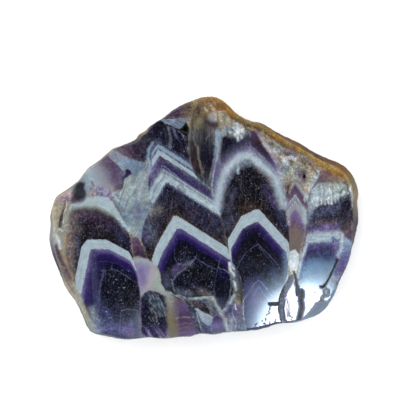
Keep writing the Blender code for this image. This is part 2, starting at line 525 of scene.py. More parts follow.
crystal(
    "left_chevron",
    [
        (70, 206), (76, 203), (84, 201), (90, 197), (97, 196), (103, 196), (108, 197), (112, 202),
        (117, 209), (121, 217), (126, 225), (129, 232), (131, 240), (132, 248), (134, 256), (136, 268),
        (138, 280), (140, 290), (141, 300), (140, 312), (141, 326), (142, 345), (100, 345), (98, 335),
        (92, 322), (87, 312), (83, 303), (80, 294), (76, 284), (72, 274), (68, 264), (66, 252), (66, 240),
        (67, 226), (68, 214),
    ],
    [
        ((100, 239.5), (0.0, -1.0), 1.0), ((78.5, 262), (-0.979, -0.205), 0.98),
        ((119, 246.5), (0.474, -0.88), 0.75), ((84.5, 243), (-0.8, -0.6), 0.9),
        ((132.5, 258.5), (0.874, -0.486), 0.32),
    ],
    [
        (-90, "silver", "glassy"), (-72, "slate", "glassy"), (-60, "dusk", "dark"), (-44, "ink", "dark"),
        (-30, "ink", "dark"), (-21, "indigo", "glassy"), (-15, "deep_violet", "glassy"),
        (-9.5, "lilac", "glassy"), (0, "soot", "dark"), (14, "soot", "dark"), (22, "aubergine", "dark"),
        (29, "dun", "cloudy"), (34, "green_milk", "milky"), (42, "milk", "milky"),
    ],
    [(-9.5, 0, "milk", 0.35), (34.5, 41, "milk", 1.6)], (100, 340),
)
area(
    "brown_blob",
    [
        (76, 184), (80, 181), (85, 183), (85, 189), (86, 195), (85, 201), (79, 205), (71, 204), (69, 198),
        (73, 191),
    ],
    [(80, 184), (74, 203)], ["smoke", "charcoal", "smoke", "dun"], "glassy", soft=2.0,
)
area(
    "pink_rind",
    [(57, 202), (60, 195), (65, 191), (71, 190), (74, 194), (72, 200), (68, 204), (62, 205)],
    [(68, 191), (64, 204)], ["cream", "pink_milk", "rose", "pink_milk"], "cloudy", marbling=("pink", 0.45),
    soft=3.0,
)
area(
    "red_violet_piece",
    [
        (131, 238), (135, 236), (139, 238), (142, 244), (145, 251), (147, 259), (140, 257), (134, 256),
        (132, 248),
    ],
    [(135, 237), (140, 257)], ["mauve", "plum", "aubergine"], "cloudy", soft=2.0,
)
area(
    "white_bar",
    [
        (133, 257), (140, 257), (147, 259), (152, 262), (157, 267), (160, 275), (161, 284), (165, 291),
        (167, 296), (162, 294), (155, 291), (149, 290), (144, 293), (141, 298), (140, 290), (138, 280),
        (136, 268), (134, 262),
    ],
    [(140, 276), (160, 282)], ["lavender", "lavender", "pink_milk", "green_milk", "green_milk"], "milky",
)
area(
    "teal_crystal",
    [
        (141, 298), (144, 293), (149, 290), (155, 291), (162, 294), (168, 298), (170, 310), (171, 322),
        (173, 345), (141, 345), (141, 326), (140, 310),
    ],
    [(151, 292), (156, 340)], ["dusk", "navy", "navy", "night", "navy", "heather", "lavender"], "dark",
    marbling=("ink", 0.8), fan=(100, 250),
)
area(
    "purple_block",
    [
        (168, 294), (178, 297), (184, 300), (188, 306), (192, 315), (195, 325), (196, 345), (172, 345),
        (171, 322), (170, 308),
    ],
    [(180, 300), (186, 338)], ["mauve", "heather", "plum", "plum", "mauve", "lilac"], "glassy",
    marbling=("plum", 0.5), fan=(60, 300),
)
area(
    "cream_bar",
    [
        (163, 291), (170, 291), (175, 295), (176, 308), (177, 322), (181, 345), (167, 345), (166, 322),
        (165, 308),
    ],
    [(168, 294), (174, 338)], ["green_milk", "ash", "olive", "ash"], "milky", marbling=("stone", 0.5),
    fan=(160, 0), soft=3.5,
)
area(
    "breccia",
    [
        (184, 299), (190, 298), (200, 298), (208, 299), (213, 296), (217, 301), (222, 310), (227, 303),
        (231, 297), (235, 292), (242, 300), (244, 315), (246, 345), (196, 345), (195, 325), (192, 315),
        (188, 306),
    ],
    [(194, 302), (242, 332)], ["charcoal", "dusk", "heather", "slate"], "cloudy", marbling=("slate", 0.6),
    fan=(150, 250),
)
area(
    "breccia_shadow",
    [(190, 302), (196, 299), (204, 302), (208, 307), (210, 315), (205, 313), (199, 310), (195, 308)],
    [(193, 303), (205, 311)], ["dun", "soot"], "dark", soft=2.0,
)
area(
    "pale_triangle",
    [
        (195, 308), (201, 311), (207, 314), (213, 317), (212, 322), (210, 326), (205, 324), (201, 320),
        (198, 314),
    ],
    [(198, 312), (208, 324)], ["milk", "blue_milk"], "pale", marbling=("silver", 0.5), fan=(120, 260),
    soft=1.2,
)
area(
    "purple_shard",
    [(213, 318), (216, 315), (221, 317), (225, 321), (227, 332), (213, 333), (211, 326)],
    [(216, 317), (219, 332)], ["dusk_violet", "lilac", "slate"], "glassy", soft=1.0,
)
area(
    "dark_capsule",
    [
        (215, 277), (217, 270), (221, 268), (227, 270), (231, 273), (232, 280), (231, 290), (229, 299),
        (226, 305), (222, 309), (218, 306), (216, 300), (214, 292), (214, 284),
    ],
    [(224, 269), (221, 307)], ["indigo", "ink", "ink", "dusk"], "glassy",
)
area(
    "silver_seam",
    [
        (228, 262), (232, 262), (236, 267), (240, 276), (242, 286), (243, 296), (243, 303), (238, 305),
        (235, 300), (233, 292), (232, 284), (230, 276), (228, 269),
    ],
    [(231, 264), (240, 302)], ["silver", "slate", "charcoal", "olive"], "streaky", finish=0.7,
)
area(
    "light_triangle",
    [
        (159, 119), (170, 119), (182, 119), (190, 117), (188, 121), (184, 125), (180, 129), (175, 127),
        (165, 123),
    ],
    [(162, 120), (186, 122)], ["silver", "blue_milk", "silver"], "streaky", marbling=("slate", 0.7),
    fan=(120, 90), soft=2.0,
)
area(
    "pale_leg",
    [
        (165, 124), (171, 127), (171, 132), (173, 140), (172, 149), (169, 152), (167, 147), (169, 140),
        (168, 132),
    ],
    [(168, 126), (171, 150)], ["silver", "slate"], "cloudy", soft=2.5,
)
area(
    "ochre_crust",
    [
        (196, 90), (240, 90), (290, 115), (370, 150), (356, 178), (351, 176), (346, 178), (340, 177),
        (333, 174), (326, 170), (319, 166), (311, 160), (302, 155), (294, 151), (286, 148), (280, 144),
        (273, 139), (266, 133), (256, 129), (248, 127), (240, 124), (232, 121), (227, 116), (221, 111),
        (213, 112), (206, 113), (199, 116), (196, 112), (199, 105),
    ],
    [(200, 104), (350, 178)], ["sand", "ochre", "olive", "gold", "olive", "gold", "ochre"], "rind",
    marbling=("bark", 0.6), finish=0.8, soft=2.0,
)
area(
    "right_rim",
    [
        (346, 177), (352, 176), (370, 180), (372, 245), (357, 240), (358, 226), (355, 213), (353, 202),
        (351, 192), (348, 184),
    ],
    [(350, 179), (358, 238)], ["olive", "sand", "cream", "ash", "aubergine", "dun"], "pale", finish=0.8,
    soft=2.0,
)

# Soft stains inside the crystals: x, y, half length, half width, turn in degrees, colour, strength
STAINS = {
    "left_chevron": [
        (79, 212, 9, 5, -15, "dun", 0.8),
        (76, 224, 9, 4, 70, "stone", 0.6),
        (70, 246, 20, 5, 86, "taupe", 0.85),
        (78, 250, 16, 3, 84, "dusk", 0.6),
        (118, 232, 18, 5, 54, "navy", 0.8),
        (100, 222, 12, 7, 0, "aubergine", 0.6),
        (95, 280, 34, 3, 86, "dusk", 0.65),
        (88, 292, 20, 3, 92, "dusk_violet", 0.75),
        (96, 320, 14, 4, 72, "milk", 0.6),
        (107, 314, 8, 8, 0, "twilight", 0.8),
        (106, 328, 18, 7, 0, "periwinkle", 0.7),
        (100, 308, 14, 5, 76, "twilight", 0.6),
        (129, 330, 9, 6, 0, "lilac", 0.7),
        (127, 298, 16, 9, 76, "black", 0.9),
    ],
    "middle_chevron": [
        (180, 268, 9, 4, -28, "heather", 0.75),
        (189, 264, 4, 3, -20, "steel", 0.8),
        (166, 281, 9, 6, 80, "dusk", 0.8),
        (197, 272, 18, 10, 20, "black", 0.75),
        (204, 293, 8, 4, 15, "stone", 0.6),
        (184, 293, 10, 3, 10, "slate", 0.75),
        (150, 232, 14, 6, 72, "slate", 0.55),
        (155, 211, 9, 5, -28, "stone", 0.85),
        (144, 232, 9, 3, 70, "heather", 0.5),
        (160, 157, 8, 5, 45, "plum", 0.85),
        (154, 168, 12, 3, 110, "lilac", 0.6),
        (172, 196, 20, 5, 62, "black", 0.5),
        (200, 222, 20, 4, 33, "navy", 0.75),
        (160, 222, 12, 5, 118, "smoke", 0.6),
    ],
    "right_of_middle_chevron": [
        (249, 206, 8, 4, -20, "umber", 0.85),
        (238, 221, 8, 3, -55, "umber", 0.85),
        (229, 222, 8, 4, -70, "dusk", 0.7),
        (264, 174, 13, 2.0, 46, "brown", 0.8),
        (254, 186, 18, 13, 96, "black", 0.85),
        (280, 212, 20, 6, 72, "navy", 0.9),
        (270, 196, 12, 3, 60, "dusk_violet", 0.7),
        (232, 200, 14, 3, 108, "dusk", 0.6),
        (286, 264, 20, 3, 90, "steel", 0.65),
        (275, 278, 12, 5, 70, "twilight", 0.6),
        (254, 296, 12, 8, 90, "lilac", 0.5),
        (254, 244, 22, 10, 70, "black", 0.75),
        (244, 164, 4, 3, 0, "slate", 0.7),
        (219, 203, 12, 2.5, 88, "steel", 0.85),
    ],
    "right_chevron": [
        (311, 271, 14, 9, 0, "mist", 0.8),
        (326, 256, 7, 5, 80, "twilight", 0.75),
        (336, 248, 9, 3, 85, "lilac", 0.8),
        (327, 271, 8, 4, 80, "steel", 0.6),
        (327, 228, 8, 2, -10, "lilac", 0.6),
        (311, 222, 9, 5, 90, "dusk", 0.75),
    ],
}
for crystal_name, stains in STAINS.items():
    for stain in stains:
        haze([crystal_name], *stain)

# Streaks that cross the bands
stroke(3.0, "heather", 0.6, (138, 205), (140, 211), (136, 218))
stroke(2.0, "milk", 0.6, (126, 196), (133, 188), (141, 181))
stroke(1.8, "pearl", 0.7, (149, 165), (145, 176), (142, 188), (139, 200))
stroke(2.0, "green_milk", 0.7, (141, 172), (136, 183), (131, 196), (128, 210))
stroke(2.0, "milk", 0.9, (104, 200), (110, 205), (115, 212), (119, 219), (124, 225), (130, 231), over=True)
stroke(1.2, "slate", 0.85, (112, 199), (116, 205), (119, 211), (123, 218), (127, 222))
stroke(0.9, "milk", 0.6, (113, 193), (118, 200), (123, 206), (127, 214))
stroke(0.8, "slate", 0.8, (158, 143), (154, 147), (151, 152), (150, 158), (148, 164), (146, 170), over=True)
stroke(
    1.4, "blue_milk", 0.9, (153, 143), (150, 147), (148, 152), (148, 158), (150, 164), (150, 172),
    over=True,
)
stroke(2.4, "milk", 0.9, (155, 182), (152, 190), (150, 198), over=True)
stroke(2.5, "silver", 0.8, (149, 204), (150, 211), over=True)
stroke(1.1, "slate", 0.8, (159, 168), (155, 176), (152, 184), (148, 190), over=True)
stroke(2.5, "bright_milk", 0.8, (162, 176), (157, 181), over=True)
stroke(2.0, "milk", 0.6, (179, 187), (184, 190), over=True)
stroke(2.5, "bright_milk", 0.8, (247, 156), (243, 158), over=True)
stroke(1.2, "milk", 0.9, (238, 164), (238, 170), (238, 173), over=True)
stroke(1.6, "slate", 0.8, (241, 167), (243, 162), over=True)
stroke(1.2, "slate", 0.6, (246, 167), (250, 166), over=True)
stroke(1.6, "pearl", 0.85, (280, 189), (284, 200), (287, 212), (289, 224), over=True)
stroke(2.2, "milk", 0.85, (303, 208), (305, 214), (305, 222), over=True)
stroke(0.8, "stone", 0.8, (302, 226), (302, 236), over=True)
stroke(1.6, "taupe", 0.7, (304, 232), (304, 246), over=True)
stroke(1.2, "milk", 0.9, (307, 244), (304, 252), (301, 262), (299, 272), over=True)
stroke(2.2, "milk", 0.9, (342, 234), (342, 242), (341, 250), (339, 256), over=True)
stroke(2.0, "mist", 0.6, (333, 238), (336, 242), over=True)
for tooth in range(7):
    x, y = 318.0 + 3.4 * tooth, 203.0 - 1.0 * (tooth % 2) - 0.3 * tooth
    stroke(0.9, "pale_white", 0.7, (x, y - 6.0), (x + 0.6, y + 2.0), over=True)
    stroke(0.9, "navy", 0.7, (x + 1.7, y + 3.0), (x + 1.4, y - 1.5), over=True)
for wisp in range(6):
    x, y = 321.0 + 4.2 * wisp, 186.0 + 1.3 * (wisp % 3)
    stroke(0.9, "pale_white", 0.6, (x, y), (x + 2.5, y + 4.0), (x + 1.0, y + 7.0), over=True)
stroke(0.9, "charcoal", 0.9, (343, 189), (340, 193))
stroke(0.8, "milk", 0.9, (348, 193), (344, 197))
stroke(1.5, "charcoal", 0.7, (345, 195), (342, 199), (338, 203))
stroke(0.8, "sand", 0.6, (333, 183), (333, 190))
stroke(0.8, "taupe", 0.8, (181, 113), (185, 112), (188, 112))
stroke(2.0, "umber", 0.7, (197, 107), (199, 113))
stroke(1.2, "straw", 0.6, (222, 112), (220, 118), (221, 123))
stroke(1.0, "cream", 0.5, (228, 116), (230, 122))
SPLASH = (238, 131)
RAYS = ((0, 9), (28, 7), (62, 6), (100, 6), (150, 8), (182, 9), (215, 6), (262, 8), (300, 6), (335, 7))
for turn, reach in RAYS:
    x, y = SPLASH[0] + reach * math.sin(math.radians(turn)), SPLASH[1] - reach * math.cos(math.radians(turn))
    stroke(1.1, "pale_white", 0.85, SPLASH, (x, y))
for x, y in ((228, 133), (232, 129), (234, 137), (245, 127), (246, 137)):
    stroke(1.3, "charcoal", 0.75, (x, y), (x + 1.5, y + 2.5))
stroke(0.8, "charcoal", 0.6, (244, 130), (246, 135))
stroke(0.9, "cream", 0.6, (267, 140), (271, 146))
stroke(1.2, "milk", 0.8, (283, 157), (290, 156), (294, 158))
stroke(1.0, "taupe", 0.7, (283, 163), (287, 162), (290, 165))
stroke(1.3, "milk", 0.7, (293, 166), (289, 171), (284, 176), (281, 178))
stroke(1.0, "stone", 0.6, (280, 177), (281, 183), (283, 187))
stroke(1.1, "heather", 0.8, (297, 172), (300, 176), (303, 182))
stroke(0.9, "pink_milk", 0.6, (300, 176), (303, 184), (307, 192), (308, 197))
stroke(1.5, "black", 1.0, (304, 174), (305, 178))
stroke(1.1, "umber", 0.8, (301, 171), (306, 171))
stroke(0.9, "cream", 0.7, (309, 167), (309, 173), (313, 175), (317, 172))
stroke(1.2, "rust", 0.6, (297, 157), (301, 160))
stroke(1.2, "brown", 0.6, (276, 141), (284, 147), (292, 152))
stroke(1.5, "sand", 0.8, (59, 249), (61, 256), (65, 263), (69, 270), (73, 278))
stroke(2.2, "green_milk", 0.8, (75, 284), (79, 296), (83, 308), (89, 321), (96, 334))
stroke(2.4, "plum", 0.85, (57, 247), (60, 257), (65, 267), (70, 277))
stroke(0.8, "straw", 0.6, (61, 266), (65, 268))
stroke(1.0, "sand", 0.8, (83, 304), (88, 316))
stroke(1.2, "plum", 0.8, (92, 182), (94, 186))
stroke(0.9, "mauve", 0.6, (90, 187), (92, 193), (93, 198))
stroke(0.8, "stone", 0.6, (75, 190), (74, 194))
stroke(0.9, "plum", 0.8, (108, 157), (112, 161), (118, 167), (123, 172))
stroke(1.3, "charcoal", 0.8, (123, 177), (123, 184), (121, 189))
stroke(1.2, "aubergine", 0.6, (128, 150), (132, 156))
stroke(1.0, "lilac", 0.6, (172, 127), (175, 132), (177, 138))
stroke(1.0, "lilac", 0.7, (141, 298), (140, 312), (140, 328))

# The weathered upper edge: dark outside, the rind's brown with painted shade on the side facing away from the
# light; gold inside; a brown seam between it and the quartz, its right half painted shade
# Dark brown band: the rind's own brown, with painted shade along the crust's outer edge
stroke(
    3.2, "bark", 0.95, (264, 125), (280, 132), (296, 139), (312, 148), (326, 155), (338, 162), (349, 169),
)
stroke(2.0, "gold", 0.6, (225, 107), (236, 115), (250, 121), (266, 129), (282, 137), (298, 146))
stroke(2.6, "gold", 0.9, (298, 148), (310, 154), (320, 161), (331, 167), (341, 171), (348, 175))
stroke(1.4, "umber", 0.8, (230, 116), (242, 124), (256, 128), (266, 133))
# Painted shade: a dark brown shadow along the gold band's inner edge
stroke(1.6, "brown", 0.75, (266, 133), (276, 140), (288, 148), (298, 153))
stroke(1.4, "rust", 0.55, (306, 159), (316, 166), (326, 171), (338, 177))
for knot in range(16):
    x = 252.0 + 5.8 * knot + 1.5 * math.sin(2.2 * knot)
    y = 126.5 + 2.75 * knot + 1.3 * math.sin(5.0 * knot)
    stroke(1.2, ("ochre", "brown", "straw", "rust")[knot % 4], 0.8, (x, y), (x + 1.5, y + 2.0))
stroke(3.0, "ochre", 0.8, (202, 98), (210, 97), (220, 100))
stroke(2.0, "rust", 0.7, (217, 106), (223, 108), (228, 113))
stroke(3.0, "umber", 0.8, (200, 106), (198, 111), (197, 117))
stroke(3.0, "sand", 0.7, (196, 99), (194, 104))
for x, y in ((205, 108), (210, 105), (213, 109), (219, 112), (224, 111)):
    stroke(1.3, "cream", 0.8, (x, y), (x + 2, y + 2))

# The left margin: a weathered rim, a cavity lined with white crystals and cream knots below it
stroke(2.0, "sand", 0.9, (77, 177), (70, 184), (65, 190), (58, 195), (53, 202), (51, 212))
stroke(1.2, "rust", 0.8, (69, 185), (64, 190), (60, 193))
stroke(2.4, "cream", 0.9, (53, 208), (55, 216), (55, 226), (54, 234), (57, 240))
stroke(1.0, "sand", 0.8, (57, 204), (58, 212), (56, 219))
stroke(2.6, "brown", 0.9, (66, 203), (64, 210), (61, 218), (60, 226))
stroke(1.6, "umber", 0.9, (61, 217), (60, 226))
stroke(1.2, "green_milk", 0.8, (65, 214), (68, 222), (68, 230), (65, 238))
stroke(1.8, "pale_white", 0.85, (56, 236), (59, 242), (60, 248))
stroke(1.8, "sand", 0.85, (64, 234), (65, 244), (63, 254), (66, 262))
stroke(1.6, "mauve", 0.6, (67, 246), (68, 258))
stroke(2.0, "dun", 0.8, (56, 246), (58, 256), (63, 266))
vein(
    1.0, "white", 0.95, (63, 200), (66, 199), (67, 204), (65, 210), (63, 215), (64, 219), (61, 222),
    (59, 229), (63, 231),
)

# The pale crystal above the left dome
stroke(5.0, "plum", 0.6, (104, 160), (112, 168), (116, 178), names=["pale_crystal"])
stroke(3.0, "pearl", 0.8, (103, 184), (112, 188), names=["pale_crystal"])

# The pale bar between the two left crystals, lilac on one side
stroke(4.5, "lilac", 0.7, (141, 271), (143, 280), names=["white_bar"])
stroke(2.2, "green_milk", 0.9, (134, 260), (142, 260), (152, 264), names=["white_bar"])
stroke(2.0, "pearl", 0.8, (139, 292), (147, 289), (155, 289), (163, 293), names=["white_bar"])

# The left dome's soft outer edge
stroke(3.0, "taupe", 0.6, (72, 209), (69, 222), (68, 240), (69, 256), (74, 276))
stroke(3.0, "milk", 0.7, (76, 206), (86, 202), (96, 200), (106, 203), over=True)

# Cream crystals below the upper edge
for x, y in ((214, 113), (220, 116), (227, 118), (234, 121), (242, 126)):
    stroke(1.5, "cream", 0.75, (x, y), (x + 2, y + 7))

# The soft white arch over the second dome
ARCH = [
    (217, 205), (219, 192), (222, 180), (226, 170), (233, 162), (240, 157), (246, 155), (251, 157),
    (260, 164), (269, 171), (274, 176), (277, 184), (280, 194), (283, 205),
]
stroke(5.5, "lavender", 0.45, *[(x, y - 3) for x, y in ARCH], texture="cloudy")
stroke(4.0, "milk", 0.97, *ARCH, texture="milky")
stroke(2.0, "bright_milk", 0.5, *[(x, y + 1) for x, y in ARCH[3:10]])
stroke(3.0, "silver", 0.6, (236, 168), (243, 163), (250, 162))

# Patches in the glassy quartz at the top
stroke(4.0, "aubergine", 0.9, (206, 122), (214, 126))
stroke(3.0, "olive", 0.6, (197, 124), (200, 119))
stroke(3.5, "night", 0.85, (204, 132), (206, 148), (208, 164))
stroke(2.5, "umber", 0.8, (193, 140), (193, 152), (196, 166))
stroke(1.0, "ash", 0.6, (198, 146), (199, 158), (203, 172))

# Pale quartz and stains right of the second dome
for lump in range(9):
    x, y = 263.0 + 3.4 * lump, 138.0 + 3.1 * lump + 3.0 * (lump % 2)
    stroke(1.6, "dun", 0.75, (x + 1.0, y - 2.0), (x + 3.5, y + 1.5))
    stroke(2.4, ("cream", "bright_milk", "ash")[lump % 3], 0.8, (x - 0.8, y), (x + 0.8, y + 1.2))
for gap in range(12):
    x, y = 284.0 + 2.9 * gap, 151.0 + 1.45 * gap + 2.2 * (gap % 3)
    stroke(1.0, "umber", 0.85, (x, y), (x + 1.0, y + 2.5))
stroke(2.6, "pale_white", 0.8, (284, 163), (287, 158), (292, 157), (297, 159))
stroke(3.0, "mauve", 0.75, (287, 152), (294, 155))
stroke(3.0, "steel", 0.85, (283, 168), (286, 170))
stroke(3.0, "cream", 0.8, (288, 176), (294, 168), (298, 164))
stroke(3.5, "rust", 0.4, (298, 157), (306, 162), (312, 167))
stroke(3.0, "mauve", 0.8, (298, 170), (302, 176), (305, 182))
stroke(1.6, "black", 1.0, (305, 175), (304, 178), over=True)
stroke(2.6, "cream", 0.85, (310, 168), (312, 174), (309, 182), (306, 190))

# Seams and stains in the right edge
stroke(1.3, "gold", 0.85, (347, 178), (350, 185), (353, 192))
stroke(1.4, "bright_milk", 0.8, (350, 186), (352, 196), (354, 206))
stroke(1.6, "sand", 0.8, (353, 190), (356, 200), (357, 206))
stroke(3.0, "aubergine", 0.9, (356, 210), (358, 220), (357, 231))

# Pieces of the broken corner at the bottom
stroke(1.5, "ash", 0.7, (209, 302), (212, 310), (211, 316))
stroke(1.8, "green_milk", 0.85, (213, 298), (218, 308), (223, 316), (228, 330))
stroke(1.5, "green_milk", 0.8, (223, 312), (230, 303), (234, 296))
stroke(1.2, "green_milk", 0.7, (190, 299), (201, 298), (212, 299))
stroke(3.0, "twilight", 0.7, (228, 306), (230, 314))
stroke(3.0, "milk", 0.65, (231, 320), (231, 330))
stroke(3.0, "mauve", 0.6, (239, 306), (240, 322))
stroke(1.6, "taupe", 0.7, (176, 300), (177, 316), (178, 334))
stroke(4.0, "steel", 0.3, (153, 299), (163, 311))
stroke(3.0, "ink", 0.6, (150, 320), (164, 324))
for y in (324, 328, 333):
    stroke(0.8, "lilac", 0.6, (179, y), (193, y - 1))
for line in (
    [(189, 298), (200, 297), (213, 297)],
    [(213, 297), (217, 306), (222, 311), (229, 304), (234, 295)],
    [(235, 303), (232, 312), (236, 322), (235, 334)],
    [(243, 301), (244, 318), (247, 334)],
    [(226, 319), (227, 333)],
    [(196, 309), (204, 313), (213, 318)],
    [(196, 310), (199, 322), (202, 332)],
):
    vein(0.9, "bright_milk", 0.75, *line)

# Thin lines, from the left
vein(
    0.9, "steel", 0.5, (97, 334), (98, 312), (100, 292), (102, 278), (104, 271), (112, 269), (118, 271),
    (126, 276), (135, 282),
)
vein(0.7, "periwinkle", 0.45, (98, 262), (106, 261), (118, 264), (130, 270), (134, 275))
vein(0.7, "periwinkle", 0.6, (92, 262), (93, 290), (95, 318))
vein(0.8, "silver", 0.8, (120, 340), (120, 322), (121, 311), (128, 309), (137, 310), (139, 318), (140, 332))
vein(0.7, "slate", 0.35, (100, 305), (108, 300), (114, 295), (119, 290), (122, 284))
vein(0.8, "periwinkle", 0.7, (88, 257), (94, 257), (99, 254))
vein(0.6, "periwinkle", 0.6, (87, 277), (92, 277), (97, 279))
vein(1.0, "pearl", 0.7, (130, 233), (131, 242), (132, 250), (134, 257))
vein(0.6, "silver", 0.6, (116, 222), (122, 228), (127, 236))
vein(0.5, "stone", 0.6, (94, 219), (97, 228), (99, 236))
vein(0.8, "periwinkle", 0.7, (172, 232), (174, 244), (175, 258), (178, 264))
vein(1.2, "lavender", 0.9, (178, 264), (187, 265), (192, 262), (196, 257))
vein(
    1.1, "silver", 0.9, (187, 267), (181, 271), (176, 276), (172, 281), (173, 287), (175, 292), (181, 296),
    (186, 299),
)
vein(0.9, "periwinkle", 0.9, (194, 256), (202, 262), (212, 268), (218, 270))
vein(0.8, "periwinkle", 0.7, (191, 284), (198, 288), (206, 291), (212, 296))
vein(0.8, "slate", 0.9, (221, 256), (219, 263), (217, 270), (215, 279), (214, 290), (216, 300), (219, 307))
vein(0.9, "silver", 0.8, (217, 267), (224, 270), (231, 274), (231, 286), (230, 297), (226, 306))
vein(0.6, "navy", 0.7, (228, 274), (229, 286), (228, 296))
vein(1.2, "milk", 0.95, (166, 291), (172, 293), (178, 296), (185, 297))
vein(0.9, "ink", 0.9, (173, 295), (179, 299), (184, 300), (188, 304), (192, 309), (195, 314))
vein(1.2, "pearl", 0.95, (176, 318), (184, 317), (193, 317))
vein(0.7, "taupe", 0.7, (179, 325), (186, 323), (193, 324))
vein(0.7, "mauve", 0.6, (179, 320), (180, 330))
vein(
    0.6, "periwinkle", 0.8, (160, 194), (162, 189), (166, 184), (171, 187), (177, 191), (184, 198),
    (190, 206),
)
vein(0.5, "slate", 0.6, (171, 194), (178, 199), (186, 205))
vein(
    0.8, "blue_milk", 0.85, (152, 190), (156, 180), (160, 171), (162, 166), (168, 169), (174, 174),
    (180, 179), (185, 184),
)
vein(0.6, "twilight", 0.8, (164, 170), (170, 174), (177, 180), (183, 184))
vein(0.8, "slate", 0.9, (157, 143), (162, 146), (167, 151), (170, 157), (175, 162), (181, 167), (188, 174))
vein(1.0, "ash", 0.6, (188, 121), (190, 130), (189, 142), (190, 152), (190, 164))
vein(0.8, "cream", 0.9, (185.5, 122), (188, 125), (189.5, 128))
vein(0.9, "silver", 0.9, (178, 131), (182, 134), (184, 138), (187, 146), (189, 150))
vein(0.6, "periwinkle", 0.6, (176, 135), (180, 142), (184, 150))
vein(0.9, "ash", 0.9, (197, 146), (198, 156), (200, 166), (202, 174), (204, 182))
vein(1.4, "silver", 0.8, (193, 132), (194, 140), (196, 146))
vein(0.8, "smoke", 0.6, (206, 138), (205, 146), (202, 156))
vein(0.9, "silver", 0.7, (215, 127), (211, 132), (207, 138), (205, 144))
vein(
    1.6, "milk", 0.95, (217, 134), (217, 142), (218, 150), (217, 158), (215, 166), (213, 176), (212, 186),
    (213, 196),
)
vein(1.0, "silver", 0.8, (214, 142), (214, 152), (213, 162), (210, 174), (209, 182))
vein(1.2, "taupe", 0.85, (222, 228), (225, 238), (228, 248), (229, 254))
vein(0.7, "slate", 0.6, (212, 218), (217, 226), (222, 236), (227, 246))
vein(0.5, "slate", 0.6, (202, 208), (208, 214), (214, 222))
vein(1.6, "heather", 0.8, (103, 270), (100, 288), (97, 306), (95, 322))
vein(0.8, "dusk_violet", 0.9, (83, 279), (94, 279), (104, 280))
vein(0.6, "slate", 0.7, (226, 196), (231, 188), (236, 180), (240, 175))
vein(
    0.9, "periwinkle", 0.9, (237, 268), (241, 260), (246, 252), (252, 248), (258, 244), (264, 250),
    (271, 257), (277, 264), (281, 270),
)
vein(0.6, "slate", 0.7, (258, 247), (264, 253), (270, 260), (275, 266))
vein(0.9, "blue_milk", 0.9, (244, 300), (250, 290), (254, 284), (259, 280), (265, 287), (272, 296))
vein(0.7, "blue_milk", 0.7, (253, 296), (259, 287), (264, 294), (269, 301))
vein(0.7, "slate", 0.6, (244, 254), (240, 262), (238, 268))
vein(0.9, "milk", 0.9, (258, 222), (263, 226), (269, 231))
vein(0.7, "slate", 0.9, (252, 149), (258, 155), (264, 162), (270, 168), (276, 175))
vein(0.6, "milk", 0.8, (254, 148), (260, 154), (267, 161), (273, 168))
vein(0.6, "stone", 0.6, (240, 186), (243, 193), (248, 202))
vein(0.5, "slate", 0.7, (255, 173), (262, 180), (270, 189), (278, 199), (284, 210))
vein(0.6, "periwinkle", 0.7, (262, 192), (268, 197), (276, 206), (284, 216), (287, 226))
vein(1.2, "green_milk", 0.7, (298, 288), (297, 276), (299, 264), (300, 254))
vein(0.9, "pink_milk", 0.85, (352, 221), (352, 228), (352, 236))
vein(0.8, "ash", 0.7, (348, 230), (346, 236), (344, 240))
vein(0.7, "periwinkle", 0.6, (344, 252), (347, 256), (349, 261))

# Ribs of the silver seam with painted glints along it, and hatching on the small dark crystal beside the pale
# bar
for rib in range(11):
    x, y = 229.5 + 0.9 * rib + 0.8 * math.sin(2.6 * rib), 266.0 + 3.3 * rib
    reach = 4.0 + 1.4 * math.sin(4.1 * rib)
    stroke(0.9, "ink", 0.95, (x, y), (x + reach, y + 0.6 * reach), names=["silver_seam"])
    stroke(0.6, "silver", 0.5, (x + 1.0, y + 1.8), (x + reach, y + 3.6), names=["silver_seam"])
# Painted glints: pale white highlights painted along the silver seam
stroke(1.1, "pale_white", 0.9, (229, 264), (231, 270), (234, 276), names=["silver_seam"])
stroke(1.1, "pale_white", 0.7, (235, 282), (236, 290), names=["silver_seam"])
stroke(1.6, "ink", 0.85, (236, 268), (240, 282), (242, 296), (242, 310), names=["silver_seam"])
for hatch in range(24):
    x, y = 149.0 + 2.9 * (hatch % 7) + 0.4 * (hatch % 3), 295.0 + 4.4 * (hatch // 4)
    stroke(0.6, "green_milk", 0.45, (x, y), (x + 2.0, y + 4.0), names=["teal_crystal"])
stroke(4.0, "ink", 0.8, (143, 300), (145, 310), (147, 320), names=["teal_crystal"])

# Glints in the silver seam and in the open crack at the left edge
for ends in (
    [(229, 263), (234, 269)],
    [(234, 281), (235.5, 287)],
    [(235, 305), (236, 310)],
    [(62, 218), (63, 223)],
):
    vein(1.4, "white", 1.0, *ends)

# Fibres above the milky bands
needles((176, 300), 82, 97, 0, 24, 9, "brown")
needles((176, 300), 82, 110, 26, 44, 7, "heather", 0.45)
needles((250, 290), 82, 96, -12, 12, 10, "brown", 0.75)
needles((250, 290), 84, 104, 16, 30, 6, "dusk", 0.6)
needles((100, 320), 84, 96, -12, 16, 8, "dun", 0.5)

# How much of its polish a break loses, down to the depth at which a pit is raw
PIT_WEAR = 0.5
PIT_LIMIT = 6 * MM

